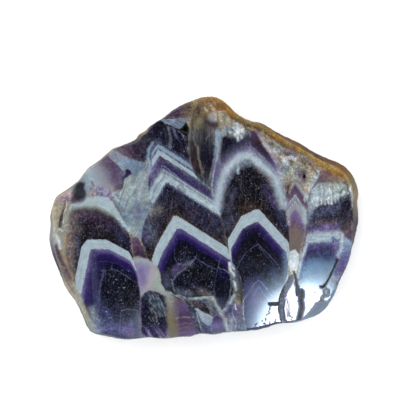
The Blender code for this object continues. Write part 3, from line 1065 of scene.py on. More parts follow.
# Rough breaks in the polish: line, width, depth in mm, colour. Their outlines are this much darker.
CRACK_EDGE = 0.15
CRACKS = [
    ([(291, 277), (289, 282), (285, 290), (282, 299), (281, 309), (283, 320), (285, 328)], 2.3, 0.5, "slate"),
    ([(294, 272), (296, 280), (297, 288), (298, 294)], 1.3, 0.4, "charcoal"),
    ([(302, 291), (301, 300), (302, 308), (300, 316), (298, 324)], 2.5, 0.5, "charcoal"),
    ([(338, 259), (334, 268), (330, 277), (326, 284), (323, 287)], 1.1, 1.0, "black"),
    ([(321, 287), (325, 286)], 1.3, 1.0, "black"),
    ([(326, 288), (329, 291), (328, 295), (325, 296), (324, 292), (326, 288)], 0.9, 0.3, "stone"),
    ([(323, 296), (322, 298)], 1.3, 0.3, "olive"),
    ([(270, 303.5), (275, 304), (279, 303)], 0.9, 0.3, "ink"),
]

# Spots that stay rough, as lines of dots: how closely they lie, how many there are and their polish
PRICK_OFTEN = 1.1
PRICK_LIMIT = 0.22
PRICK_POLISH = 0.3
PINPRICKS = [
    ([(270, 305), (269, 312), (266, 320)], 1.2),
    ([(256, 325), (262, 322), (268, 324), (276, 321)], 1.6),
    ([(286, 300), (288, 308), (290, 316), (292, 321)], 2.6),
    ([(314, 292), (317, 293)], 1.0),
]

# The two small vugs: x, y, half width along and across and depth in mm, turn in degrees, as in the CAD part
VUG_ROUGHNESS = 0.8
VUGS_MM = [(50.2, 20.8, 1.2, 0.8, 2.5, 70.0), (-71.2, -0.5, 5.6, 0.8, 2.0, 78.0)]

# The largest vug is a three-cornered hollow, as plan points and in metres. Its inside is also painted black,
# as painted shade in the deep pit.
HOLLOW = [
    (179, 129.5), (182, 127.5), (185.5, 122.5), (187, 125), (188.5, 128), (188, 133.5), (186, 133),
    (183, 131.5),
]
HOLLOW_DEPTH = 4.5 * MM
HOLLOW_SLOPE = 2.5

# The corner chipped off below the polished face, as plan points
CHIP = [(302, 325), (308, 316), (314, 308), (321, 299), (325, 301), (331, 305), (340, 310), (330, 335)]
CHIP = np.array(CHIP, dtype=float)
CHIP_COLOUR = "stone"
CHIP_STRENGTH = 0.9
CHIP_POLISH = 0.2

# Where the side is sawn, in degrees clockwise from the top, the crystals show through the rind
SAWN_SIDE = (112, 232)
SAWN_FADE = 8
SAWN_COVER = 0.35

# The rind's colour in stretches round the stone, in degrees clockwise from the top. The bark stretches at the
# upper right are the rind's own dark brown with painted shade, for the side of the crust that faces away from
# the light.
RIND = [
    (0, "ochre"), (11, "gold"), (28, "olive"), (34, "bark"), (50, "rust"), (62, "bark"), (70, "rust"),
    (76, "olive"), (82, "sand"), (87, "ash"), (92, "plum"), (98, "dun"), (106, "silver"), (140, "silver"),
    (186, "silver"), (222, "green_milk"), (238, "cream"), (245, "cream"), (250, "dun"), (256, "plum"),
    (264, "pearl"), (278, "straw"), (284, "brown"), (290, "sand"), (302, "sand"), (317, "umber"),
    (326, "sand"), (334, "dun"), (348, "aubergine"), (360, "ochre"),
]


# Plan geometry
def to_plan(points):
    """Points in metres, seen from above, in plan steps."""
    points = np.asarray(points, dtype=float)
    return np.column_stack([points[:, 0], -points[:, 1]]) / PLAN_STEP + PLAN_CENTRE


def from_plan(points):
    """Plan points in metres."""
    offset = (np.asarray(points, dtype=float) - PLAN_CENTRE) * PLAN_STEP
    return np.column_stack([offset[:, 0], -offset[:, 1]])


def wander(point):
    """Moves a plan point a little, always the same way, so that drawn lines look grown."""
    x, y = point
    dx = dy = 0.0
    for often, reach, layer in WANDER:
        place = Vector((x * often, y * often, layer))
        dx += reach * noise.noise(place)
        dy += reach * noise.noise(place + WANDER_APART)
    return (x + dx, y + dy)


def drawn_line(points, closed=False, step=SEAM_STEP):
    """A plan line in short steps, with grown wander."""
    points = list(points)
    if closed:
        points.append(points[0])
    line = []
    for (ax, ay), (bx, by) in zip(points, points[1:]):
        count = max(1, round(math.hypot(bx - ax, by - ay) / step))
        for i in range(count):
            share = i / count
            line.append(wander((ax + (bx - ax) * share, ay + (by - ay) * share)))
    if not closed:
        line.append(wander(points[-1]))
    return np.array(line)


def inside(points, outline):
    """Which points lie inside a closed outline."""
    found = np.zeros(len(points), dtype=bool)
    low, high = outline.min(axis=0), outline.max(axis=0)
    near = np.all((points >= low) & (points <= high), axis=1)
    if not near.any():
        return found
    x, y = points[near, 0], points[near, 1]
    odd = np.zeros(len(x), dtype=bool)
    for (ax, ay), (bx, by) in zip(outline, np.roll(outline, -1, axis=0)):
        if ay == by:
            continue
        crosses = (ay > y) != (by > y)
        odd ^= crosses & (x < ax + (y - ay) * (bx - ax) / (by - ay))
    found[near] = odd
    return found


def distance_to_line(points, line):
    """How far each plan point is from a line of plan points."""
    best = np.full(len(points), np.inf)
    for a, b in zip(line, line[1:]):
        along = b - a
        share = np.clip(((points - a) @ along) / max(along @ along, 1e-9), 0.0, 1.0)
        gap = points - a - share[:, None] * along
        best = np.minimum(best, np.hypot(gap[:, 0], gap[:, 1]))
    return best


def distance_to_outline(points, outline):
    """How far each plan point is from a closed outline."""
    return distance_to_line(points, np.vstack([outline, outline[:1]]))


def smooth_step(value, low, high):
    """Rises gently from 0 at the low value to 1 at the high one."""
    share = np.clip((value - low) / (high - low), 0.0, 1.0)
    return share * share * (3.0 - 2.0 * share)


def interpolated(at, stops, rows):
    """Rows of values, such as colours, between those that are given at the stops."""
    rows = np.array(rows)
    return np.column_stack([np.interp(at, stops, rows[:, i]) for i in range(rows.shape[1])])


# What each area looks like at a set of plan points
def growth_distance(facets, points):
    """How far out of its facets a crystal had grown when it reached each point."""
    reach = [((points - np.array(at)) @ np.array(way)) / rate for at, way, rate in facets]
    return np.max(reach, axis=0)


def grown_look(spec, points):
    """Colour, texture, distance to a milky band and the band's colour in a crystal."""
    reach = growth_distance(spec["facets"], points)
    stops = [distance for distance, _, _ in spec["growth"]]
    body = interpolated(reach, stops, [rgb(colour) for _, colour, _ in spec["growth"]])
    texture = interpolated(reach, stops, [TEXTURES[kind] for _, _, kind in spec["growth"]])
    bands = spec["bands"]
    gaps = np.array([np.abs(reach - (low + high) / 2) - (high - low) / 2 for low, high, _, _ in bands])
    shades = np.array([(*rgb(colour), soft) for _, _, colour, soft in bands])
    return body, texture, gaps.min(axis=0), shades[gaps.argmin(axis=0)]


def faded_look(spec, points):
    """The same in an area that fades from colour to colour and has no bands."""
    start, end = np.array(spec["along"], dtype=float)
    share = np.clip((points - start) @ (end - start) / ((end - start) @ (end - start)), 0.0, 1.0)
    shades = [rgb(colour) for colour in spec["fade"]]
    body = interpolated(share, np.linspace(0.0, 1.0, len(shades)), shades)
    texture = np.tile(TEXTURES[spec["texture"]], (len(points), 1))
    return body, texture, np.full(len(points), FAR), np.tile(NO_BAND, (len(points), 1))


def area_look(spec, points):
    """What an area lays down at each point, with the fibres' way as its grain."""
    body, texture, gap, band = (grown_look if "facets" in spec else faded_look)(spec, points)
    offset = points - spec["fan"]
    reach = np.hypot(offset[:, 0], offset[:, 1])
    swing = np.arctan2(offset[:, 0], -offset[:, 1]) * np.median(reach)
    reach = growth_distance(spec["facets"], points) if "facets" in spec else reach * FIBRE_STRETCH
    grain = np.column_stack([swing, reach, np.full(len(points), len(spec["name"]) * GRAIN_APART)])
    gap = np.clip(gap, -FAR, FAR)[:, None]
    return {"body": body, "texture": texture, "gap": gap, "band": band, "grain": grain}


# The shape of the stone
def pit_depth(points):
    """How deep the polished face is broken at each point in metres, and how rough it is there."""
    plan = to_plan(points)
    depth = np.zeros(len(points))
    rough = np.zeros(len(points))
    for x, y, long, wide, deep, turn in VUGS_MM:
        offset = points / MM - (x, y)
        angle = math.radians(turn)
        along = offset @ (math.cos(angle), math.sin(angle)) / long
        across = offset @ (-math.sin(angle), math.cos(angle)) / wide
        reach = np.hypot(along, across)
        depth = np.maximum(depth, deep * MM * np.clip(1.0 - reach**3, 0.0, 1.0))
        rough = np.maximum(rough, VUG_ROUGHNESS * (reach < 1.0))
    hollow = drawn_line(HOLLOW, closed=True)
    held = inside(plan, hollow)
    edge = distance_to_outline(plan[held], hollow)
    depth[held] = np.maximum(depth[held], HOLLOW_DEPTH * smooth_step(edge, 0.0, HOLLOW_SLOPE))
    for line, width, deep, _ in CRACKS:
        gap = distance_to_line(plan, drawn_line(line))
        share = 1.0 - smooth_step(gap, 0.5 * width, width)
        depth = np.maximum(depth, deep * MM * share)
        rough = np.maximum(rough, share)
    return depth, rough


def around():
    """The way out at each column of the wall, as x and y."""
    return [(math.sin(math.tau * i / COLUMNS), math.cos(math.tau * i / COLUMNS)) for i in range(COLUMNS)]


def wall_rings(tree, top, bottom):
    """Rings of points up the wall, from the sawn back to the polished face, read off the CAD stone."""
    levels = list(np.linspace(bottom + 0.05 * MM, top - EDGE_LEVELS[0] * MM, WALL_LEVELS, endpoint=False))
    levels += [top - drop * MM for drop in EDGE_LEVELS]
    radii = []
    for level in levels:
        row = []
        for x, y in around():
            way = Vector((x, y, 0.0))
            hit = tree.ray_cast(way * OUTSIDE + Vector((0, 0, level)), -way)[0]
            row.append(math.hypot(hit.x, hit.y))
        radii.append(row)
    radii = np.array(radii)
    for _ in range(SMOOTH_ROUNDS):
        radii = 0.5 * radii + 0.25 * (np.roll(radii, 1, axis=1) + np.roll(radii, -1, axis=1))
    rings = []
    for level, row in zip(levels, radii):
        ring = []
        roughness = float(smooth_step(np.array(top - level), 0.3 * MM, 1.6 * MM))
        for (x, y), radius in zip(around(), row):
            place = Vector((x * radius, y * radius, level))
            cut = sum(abs(noise.noise(place / size)) * deep for size, deep in RIND_LUMPS)
            radius -= roughness * cut
            ring.append((x * radius, y * radius, level))
        rings.append(ring)
    return np.array(rings)


def hexagonal_points(low, high, spacing):
    """Evenly spaced points over a rectangle, every other row shifted by half a step."""
    rows = np.arange(low[1], high[1], spacing * math.sqrt(3) / 2)
    points = []
    for index, y in enumerate(rows):
        xs = np.arange(low[0] + (index % 2) * spacing / 2, high[0], spacing)
        points.append(np.column_stack([xs, np.full(len(xs), y)]))
    return np.vstack(points)


def drawn_in(ring, distance):
    """A ring of points round the middle of the stone, moved inwards."""
    return ring * (1.0 - distance / np.linalg.norm(ring, axis=1))[:, None]


def cap(ring, spacing, lines):
    """Triangles that fill a ring, with the drawn lines as edges. The ring's points come first."""
    ring = np.asarray(ring)
    shrunk = drawn_in(ring, spacing * CAP_MARGIN)
    every = [ring]
    edges = [(i, (i + 1) % len(ring)) for i in range(len(ring))]
    start = len(ring)
    for line, closed in lines:
        kept = inside(line, shrunk)
        index = np.full(len(line), -1)
        index[kept] = start + np.arange(kept.sum())
        every.append(line[kept])
        start += int(kept.sum())
        pairs = list(zip(range(len(line) - 1), range(1, len(line))))
        if closed:
            pairs.append((len(line) - 1, 0))
        edges += [(int(index[a]), int(index[b])) for a, b in pairs if kept[a] and kept[b]]
    points = hexagonal_points(ring.min(axis=0), ring.max(axis=0), spacing)
    every.append(points[inside(points, shrunk)])
    scaled = [Vector(point) for point in np.vstack(every) / MM]
    made = delaunay_2d_cdt(scaled, edges, [], 0, MERGE_MM)
    places = np.array([(v.x, v.y) for v in made[0]]) * MM
    faces = np.array([face for face in made[2] if len(face) == 3])
    faces = faces[inside(places[faces].mean(axis=1), ring)]
    order = np.full(len(places), -1)
    for new, olds in enumerate(made[3]):
        for old in olds:
            if old < len(ring) and order[new] < 0:
                order[new] = old
    fresh = np.flatnonzero(order < 0)
    order[fresh] = len(ring) + np.arange(len(fresh))
    return np.vstack([ring, places[fresh]]), order[faces]


def wall_triangles(levels, face_start, back_start):
    """Triangles up the wall, and from its ends to the rims of the face and the back."""
    triangles = []
    steps = [(column, (column + 1) % COLUMNS) for column in range(COLUMNS)]
    for level in range(levels - 1):
        for column, after in steps:
            a, b = level * COLUMNS + column, level * COLUMNS + after
            c, d = a + COLUMNS, b + COLUMNS
            triangles += [(a, c, b), (b, c, d)]
    last = (levels - 1) * COLUMNS
    for column, after in steps:
        triangles += [(last + column, face_start + column, last + after)]
        triangles += [(last + after, face_start + column, face_start + after)]
        triangles += [(back_start + column, column, back_start + after)]
        triangles += [(back_start + after, column, after)]
    return np.array(triangles)


def stone_mesh(slab):
    """The stone's points and triangles, the count of its wall points, and the heights of face and back."""
    tree = BVHTree.FromObject(slab, bpy.context.evaluated_depsgraph_get())
    heights = np.array([v.co.z for v in slab.data.vertices])
    top, bottom = heights.max(), heights.min()
    rings = wall_rings(tree, top, bottom)
    outlines = [spec["outline"] for spec in AREAS[1:]] + [HOLLOW]
    lines = [(from_plan(drawn_line(outline, closed=True)), True) for outline in outlines]
    lines += [(from_plan(drawn_line(points)), False) for points, _, _, _ in VEINS + CRACKS]
    face_points, face_triangles = cap(drawn_in(rings[-1][:, :2], EDGE_STEP), FACE_SPACING, lines)
    back_points, back_triangles = cap(rings[0][:, :2], BACK_SPACING, [])
    depth, _ = pit_depth(face_points)
    wall = rings.reshape(-1, 3)
    face = np.column_stack([face_points, top - depth])
    back = np.column_stack([back_points, np.full(len(back_points), bottom)])
    face_start = len(wall)
    back_start = face_start + len(face)
    sides = wall_triangles(len(rings), face_start, back_start)
    up = face_triangles + face_start
    down = back_triangles[:, ::-1] + back_start
    return np.vstack([wall, face, back]), np.vstack([sides, up, down]), len(wall), top, bottom


# The pattern, as values on the mesh
def read_places(points, wall_count, top, bottom):
    """Where on the plan each point takes its pattern: the crystals lean a little through the slab."""
    plan = to_plan(points[:, :2])
    below = (top - points[:, 2]) / (top - bottom)
    below[wall_count:] *= points[wall_count:, 2] < bottom + MM
    middle = (plan - PLAN_CENTRE) * (1.0 - SIDE_SHRINK * smooth_step(below, 0.0, 0.25))[:, None]
    return PLAN_CENTRE + middle + below[:, None] * LEAN


def write(mesh, name, kind, domain, values):
    """Stores values on the mesh, where the material reads them."""
    layer = mesh.attributes.new(name, kind, domain)
    field = {"FLOAT": "value", "FLOAT_VECTOR": "vector", "FLOAT_COLOR": "color"}[kind]
    layer.data.foreach_set(field, np.asarray(values, dtype=np.float32).reshape(-1))


def blend(values, mine, shown, share):
    """Lays what is shown over some of the values, as strongly as its share."""
    values[mine] = values[mine] * (1 - share) + shown * share


def melt(values, corners, loose):
    """Lets colours run into one another from corner to corner, as far as each corner is loose."""
    counts = np.maximum(np.bincount(corners), 1)
    for _ in range(MELT_ROUNDS):
        inner = np.repeat(values.reshape(-1, 3, values.shape[1]).mean(axis=1), 3, axis=0)
        spread = 0.5 * (values + inner)
        shared = np.column_stack([np.bincount(corners, spread[:, i]) for i in range(values.shape[1])])
        values = values + (shared[corners] / counts[corners, None] - values) * loose[:, None]
    return values


def lay_areas(places, triangles):
    """Lays the areas over one another at the triangles' corners, each fading in from its own outline."""
    middles = places[triangles].mean(axis=1)
    corners = triangles.reshape(-1)
    count = len(corners)
    columns = {"body": 3, "texture": 5, "gap": 1, "band": 4, "grain": 3, "marbling": 4}
    paint = {name: np.zeros((count, wide)) for name, wide in columns.items()}
    owner = np.zeros(count, dtype=int)
    loose = np.ones(count)
    for number, spec in enumerate(AREAS):
        outline = drawn_line(spec["outline"], closed=True)
        mine = np.repeat(inside(middles, outline), 3)
        owner[mine] = number
        used, back = np.unique(corners[mine], return_inverse=True)
        look = area_look(spec, places[used])
        share = np.ones(len(used))
        if number:
            least = SEAM_SHARE if spec["soft"] < PATCH_SOFTNESS else 0.0
            edge = distance_to_outline(places[used], outline)
            share = least + (1.0 - least) * smooth_step(edge, 0.0, spec["soft"])
        share = share[back][:, None]
        for name in ("body", "texture", "gap", "band"):
            blend(paint[name], mine, look[name][back], share)
        paint["grain"][mine] = look["grain"][back]
        paint["marbling"][mine] = (*rgb(spec["marbling"][0]), spec["marbling"][1])
        loose[mine] = MELT_CRYSTALS if "facets" in spec else 1.0
    for name in ("body", "texture", "marbling"):
        paint[name] = melt(paint[name], corners, loose)
    return paint, owner


def lay_strokes(paint, owner, places, corners):
    """Lays the brush strokes over the areas."""
    names = [spec["name"] for spec in AREAS]
    for points, width, shade, strength, kind, chosen, over in STROKES:
        line = drawn_line(points)
        low, high = line.min(axis=0) - STROKE_REACH * width, line.max(axis=0) + STROKE_REACH * width
        close = np.all((places > low) & (places < high), axis=1)
        share = np.zeros(len(places))
        share[close] = strength * np.exp(-((distance_to_line(places[close], line) / width) ** 2))
        share = share[corners]
        if chosen:
            share *= np.isin(owner, [names.index(name) for name in chosen])
        mine = share > LEAST_SHARE
        part = share[mine][:, None]
        blend(paint["body"], mine, shade, part)
        if kind:
            blend(paint["texture"], mine, np.array(TEXTURES[kind]), part)
        if over:
            blend(paint["gap"], mine, FAR, part)
        paint["marbling"][mine, 3] *= 1 - part[:, 0]


def colour_attributes(mesh, places, triangles):
    """What the areas and the strokes lay down, at the corners of the triangles."""
    paint, owner = lay_areas(places, triangles)
    lay_strokes(paint, owner, places, triangles.reshape(-1))
    body = np.column_stack([paint["body"], np.ones(len(owner))])
    write(mesh, "body", "FLOAT_COLOR", "CORNER", body)
    write(mesh, "texture", "FLOAT_COLOR", "CORNER", paint["texture"][:, :4])
    write(mesh, "crackle", "FLOAT", "CORNER", paint["texture"][:, 4])
    write(mesh, "band", "FLOAT_COLOR", "CORNER", paint["band"])
    write(mesh, "band_gap", "FLOAT", "CORNER", paint["gap"])
    write(mesh, "grain", "FLOAT_VECTOR", "CORNER", paint["grain"])
    write(mesh, "marbling", "FLOAT_COLOR", "CORNER", paint["marbling"])


def vein_attributes(mesh, places):
    """The nearest thin line: how many of its own widths away it is, its colour and how strongly it shows."""
    samples = []
    for index, (points, _, _, _) in enumerate(VEINS):
        samples += [(x, y, index) for x, y in drawn_line(points, step=VEIN_STEP)]
    tree = kdtree.KDTree(len(samples))
    for number, (x, y, _) in enumerate(samples):
        tree.insert((x, y, 0.0), number)
    tree.balance()
    gap = np.full(len(places), FAR)
    tint = np.zeros((len(places), 4))
    for number, (x, y) in enumerate(places):
        _, found, far = tree.find((x, y, 0.0))
        _, width, shade, strength = VEINS[samples[found][2]]
        gap[number] = min(FAR, far / width)
        tint[number] = (*shade, strength)
    write(mesh, "vein_gap", "FLOAT", "POINT", gap)
    write(mesh, "vein", "FLOAT_COLOR", "POINT", tint)


def polish_values(points, plan, places, on_face, depth_below):
    """How polished the stone is at each point, 0 where it is raw."""
    _, rough = pit_depth(points[:, :2])
    pitted = PIT_WEAR * rough * (depth_below < PIT_LIMIT)
    polish = np.maximum(on_face, (rough > 0.3) * 1.0) * (1.0 - np.clip(pitted, 0, 1))
    for spec in AREAS:
        if spec["finish"] < 1.0:
            polish[inside(places, drawn_line(spec["outline"], closed=True))] *= spec["finish"]
    polish[inside(plan, CHIP)] *= CHIP_POLISH
    for line, wide in PINPRICKS:
        gap = distance_to_line(plan, np.array(line, dtype=float))
        for number in np.flatnonzero(gap < wide):
            x, y = plan[number]
            if noise.noise(Vector((x * PRICK_OFTEN, y * PRICK_OFTEN, 5.0))) > PRICK_LIMIT:
                polish[number] *= PRICK_POLISH
    return polish


def rind_values(points, plan, depth_below, bottom, wall_count):
    """The rind's colour at each point, and how much it covers there."""
    offset = plan - PLAN_CENTRE
    turn = np.degrees(np.arctan2(offset[:, 0], -offset[:, 1])) % 360.0
    shades = interpolated(turn, [stretch for stretch, _ in RIND], [rgb(colour) for _, colour in RIND])
    start, end = SAWN_SIDE
    sawn = smooth_step(turn, start - SAWN_FADE, start) - smooth_step(turn, end, end + SAWN_FADE)
    off_back = smooth_step(points[:, 2] - bottom, 0.01 * MM, 0.2 * MM)
    cover = smooth_step(depth_below, 0.3 * MM, 2.5 * MM) * off_back * (1.0 - (1.0 - SAWN_COVER) * sawn)
    cover[wall_count:] = 0.0
    return np.column_stack([shades, cover])


def broken_and_pit_shade_values(plan, on_face, wall_count):
    """The colour of the cracks and the chip at each point, and how strongly it shows; the hollow is painted
    black there as painted shade in the deep pit.
    """
    hollow = drawn_line(HOLLOW, closed=True)
    gap = np.where(inside(plan, hollow), 0.0, distance_to_line(plan, hollow))
    # The hollow is painted black: painted shade where the deep pit lies in shadow
    tint = np.tile((*rgb("black"), 0.0), (len(plan), 1))
    tint[:, 3] = 1.0 - smooth_step(gap, 0.0, 0.8)
    for line, width, _, colour in CRACKS:
        share = 1.0 - smooth_step(distance_to_line(plan, drawn_line(line)), 0.6 * width, 1.15 * width)
        better = share > tint[:, 3]
        outline = CRACK_EDGE + (1.0 - CRACK_EDGE) * smooth_step(share[better], 0.3, 0.9)
        tint[better, :3] = rgb(colour) * outline[:, None]
        tint[better, 3] = share[better]
    tint[inside(plan, CHIP)] = (*rgb(CHIP_COLOUR), CHIP_STRENGTH)
    tint[:wall_count, 3] *= on_face[:wall_count]
    return tint


def surface_attributes(mesh, points, places, top, bottom, wall_count):
    """How polished the stone is, and the colours of the rind and of what is broken."""
    plan = to_plan(points[:, :2])
    depth_below = top - points[:, 2]
    on_face = 1.0 - smooth_step(depth_below, 0.1 * MM, 0.7 * MM)
    write(mesh, "polish", "FLOAT", "POINT", polish_values(points, plan, places, on_face, depth_below))
    write(mesh, "rind", "FLOAT_COLOR", "POINT", rind_values(points, plan, depth_below, bottom, wall_count))
    write(mesh, "broken", "FLOAT_COLOR", "POINT", broken_and_pit_shade_values(plan, on_face, wall_count))


# Materials
class Graph:
    """A material's nodes, built from plain calls."""

    def __init__(self, tree):
        self.tree = tree
        self.tree.nodes.clear()

    def node(self, kind, **settings):
        made = self.tree.nodes.new(kind)
        for name, value in settings.items():
            setattr(made, name, value)
        return made

    def plug(self, socket, value):
        if isinstance(value, bpy.types.NodeSocket):
            self.tree.links.new(value, socket)
        elif value is not None:
            socket.default_value = value

    def fill(self, kind, given, **settings):
        """A node with some of its inputs given by name."""
        made = self.node(kind, **settings)
        for name, value in given.items():
            self.plug(made.inputs[name], value)
        return made

    def attribute(self, name):
        return self.node("ShaderNodeAttribute", attribute_name=name)

    def math(self, operation, first, second=None, third=None):
        made = self.node("ShaderNodeMath", operation=operation)
        for socket, value in zip(made.inputs, (first, second, third)):
            self.plug(socket, value)
        return made.outputs[0]

    def total(self, first, *others):
        return self.math("ADD", first, self.total(*others)) if others else first

    def times(self, first, *others):
        return self.math("MULTIPLY", first, self.times(*others)) if others else first

    def vector(self, operation, first, second):
        made = self.node("ShaderNodeVectorMath", operation=operation)
        self.plug(made.inputs[0], first)
        self.plug(made.inputs[1], second)
        return made.outputs[0]

    def noise(self, place, scale, detail, roughness=0.5, distortion=0.0, output="Fac"):
        given = {
            "Vector": place, "Scale": scale, "Detail": detail, "Roughness": roughness,
            "Distortion": distortion,
        }
        return self.fill("ShaderNodeTexNoise", given).outputs[output]

    def cells(self, place, scale, feature="F1"):
        return self.fill("ShaderNodeTexVoronoi", {"Vector": place, "Scale": scale}, feature=feature).outputs

    def swing(self, value, size):
        """A noise's rise and fall about its middle."""
        return self.times(self.math("SUBTRACT", value, 0.5), size)

    def swings(self, *pairs):
        return self.total(*[self.swing(value, size) for value, size in pairs])

    def step(self, value, low, high, start=0.0, end=1.0):
        made = self.node("ShaderNodeMapRange", interpolation_type="SMOOTHSTEP")
        for socket, given in zip(made.inputs, (value, low, high, start, end)):
            self.plug(socket, given)
        return made.outputs[0]

    def mix(self, share, first, second, blend="MIX"):
        made = self.node("ShaderNodeMix", data_type="RGBA", blend_type=blend)
        for number, value in ((0, share), (6, first), (7, second)):
            self.plug(made.inputs[number], value)
        return made.outputs[2]

    def shaded(self, colour, shade):
        return self.mix(1.0, colour, shade, "MULTIPLY")

    def split(self, colour):
        made = self.node("ShaderNodeSeparateColor")
        self.plug(made.inputs[0], colour)
        return made.outputs

    def grey(self, value):
        made = self.node("ShaderNodeCombineColor")
        for socket in made.inputs:
            self.plug(socket, value)
        return made.outputs[0]

    def doubled(self, times):
        """The grey that makes a colour twice as bright, so many times over."""
        return self.grey(self.math("POWER", 2.0, times))


class StoneGraph(Graph):
    """The stone's pattern: each step takes the colour so far, and gives it back with one thing more."""

    def __init__(self, tree):
        super().__init__(tree)
        metres = self.node("ShaderNodeTexCoord").outputs["Object"]
        self.place = self.vector("MULTIPLY", metres, (1.0 / MM,) * 3)
        texture = self.attribute("texture")
        self.mottle, self.needle, self.speck = self.split(texture.outputs["Color"])
        self.crumb = texture.outputs["Alpha"]
        self.crackle = self.attribute("crackle").outputs["Fac"]
        self.grain = self.attribute("grain").outputs["Vector"]
        self.cloud = self.noise(self.place, 0.36, 4.0, 0.62, 0.8)
        self.lumps = self.noise(self.place, 0.9, 3.0, 0.6, 0.6)
        self.fine = self.noise(self.place, 2.3, 2.0)
        self.rubble = self.noise(self.place, 0.8, 5.0, 0.7, 1.4)
        self.streaks = self.noise(self.drawn_out(0.7, 0.055), 1.0, 2.0, 0.55, 0.5)
        self.layers = self.noise(self.drawn_out(0.09, 0.55), 1.0, 3.0, 0.6, 0.5)
        self.warp = self.noise(self.place, 0.5, 2.0, output="Color")

    def drawn_out(self, across, along):
        """The grain stretched for a noise: fine across the fibres and long along them, or the reverse."""
        return self.vector("MULTIPLY", self.grain, (across, along, 1.0))

    def marbled(self, colour):
        """A second mineral, drawn out along the grain."""
        marbling = self.attribute("marbling")
        swirl = self.noise(self.drawn_out(0.3, 0.035), 1.0, 2.0, 0.55, 0.7)
        share = self.step(self.needle, 0.3, 0.7, 0.15, 0.8)
        others = self.times(self.cloud, self.math("SUBTRACT", 1.0, share))
        swirl = self.total(self.times(swirl, share), others)
        share = self.times(self.step(swirl, 0.43, 0.57), marbling.outputs["Alpha"])
        return self.mix(share, colour, marbling.outputs["Color"])

    def mottled(self, colour):
        """Clouds, a drift between warm and cool, and fine growth lines."""
        swing = self.swings((self.cloud, 4.5), (self.lumps, 2.6), (self.fine, 1.0))
        colour = self.shaded(colour, self.doubled(self.times(swing, self.mottle)))
        drift = self.step(self.noise(self.place, 0.21, 3.0), 0.38, 0.62)
        colour = self.mix(self.mottle, colour, self.shaded(colour, self.mix(drift, WARM_DRIFT, COOL_DRIFT)))
        return self.shaded(colour, self.doubled(self.times(self.swing(self.layers, 2.4), self.needle)))

    def fibrous(self, colour):
        """Fibres, wisps, dust, scratches and crackle that catch the light inside the stone."""
        paler = self.mix(1.0, self.shaded(colour, PALER_TIMES), PALER_PLUS, "ADD")
        fibres = self.step(self.streaks, 0.55, 0.68)
        fibres = self.times(fibres, self.step(self.cloud, 0.38, 0.6), self.needle, 0.8)
        wisps = self.noise(self.drawn_out(0.32, 0.14), 1.0, 5.0, 0.75, 1.0)
        wisps = self.times(self.step(wisps, 0.46, 0.74), self.needle, 0.75)
        dust = self.step(self.noise(self.place, 1.15, 3.0, 0.75, 0.4), 0.54, 0.72)
        dust = self.times(dust, self.step(self.cloud, 0.4, 0.6, 0.15, 1.0), self.speck, 0.8)
        for share in (fibres, wisps, dust):
            colour = self.mix(share, colour, paler)
        for turn, along in SCRATCHES:
            turned = self.node("ShaderNodeVectorRotate", rotation_type="Z_AXIS")
            self.plug(turned.inputs["Vector"], self.place)
            turned.inputs["Angle"].default_value = turn
            scratches = self.noise(self.vector("MULTIPLY", turned.outputs[0], (1.7, along, 0.4)), 1.0, 1.0)
            shown = self.times(self.step(scratches, 0.67, 0.73), self.step(self.lumps, 0.42, 0.58))
            shown = self.times(shown, self.needle, 0.7)
            colour = self.mix(shown, colour, paler)
        warped = self.vector("ADD", self.place, self.vector("MULTIPLY", self.warp, (3.4, 3.4, 3.4)))
        cracked = self.step(self.cells(warped, 0.34, "DISTANCE_TO_EDGE")["Distance"], 0.012, 0.11, 1.0, 0.0)
        return self.mix(self.times(cracked, self.crackle, self.step(self.lumps, 0.35, 0.62)), colour, paler)

    def specked(self, colour):
        """White specks and finer grey ones between them."""
        dots = self.cells(self.place, 0.8)
        chosen = self.step(self.split(dots["Color"])[0], 0.7, 0.95)
        chosen = self.times(chosen, self.step(self.cloud, 0.45, 0.62))
        spot = self.step(self.total(dots["Distance"], self.times(self.fine, 0.3)), 0.2, 0.5, 1.0, 0.0)
        colour = self.mix(self.times(spot, chosen, self.speck), colour, SPECK_COLOUR)
        dots = self.cells(self.place, 1.5)
        chosen = self.step(self.split(dots["Color"])[1], 0.66, 0.9)
        chosen = self.times(chosen, self.step(self.lumps, 0.42, 0.62))
        spot = self.step(dots["Distance"], 0.2, 0.55, 1.0, 0.0)
        return self.mix(self.times(spot, chosen, self.speck, 0.8), colour, DUST_COLOUR)

    def crumbled(self, colour):
        """Lobes of small crystals with dark gaps between them."""
        bent = self.vector("MULTIPLY", self.warp, (2.4, 2.4, 2.4))
        lobes = self.cells(self.vector("ADD", self.drawn_out(0.2, 0.3), bent), 1.0, "DISTANCE_TO_EDGE")
        grit = self.total(self.step(lobes["Distance"], 0.0, 0.2, -1.6, 0.45), self.swing(self.rubble, 3.0))
        return self.shaded(colour, self.doubled(self.times(grit, self.crumb)))

    def banded(self, colour):
        """Milky bands with unsteady edges and clots of their own."""
        band = self.attribute("band")
        soft = band.outputs["Alpha"]
        edge = self.swings((self.fine, 1.0), (self.streaks, 2.0), (self.lumps, 1.0))
        edge = self.times(edge, self.math("MULTIPLY_ADD", soft, 1.8, 0.5))
        edge = self.total(edge, self.attribute("band_gap").outputs["Fac"])
        milk = self.step(edge, self.times(soft, -1.0), soft, 1.0, 0.0)
        clot = self.swings((self.cloud, 1.2), (self.lumps, 0.8), (self.streaks, 0.6), (self.layers, 1.4))
        clot = self.times(clot, self.math("MULTIPLY_ADD", soft, 0.5, 0.6))
        return self.mix(milk, colour, self.shaded(band.outputs["Color"], self.doubled(clot)))

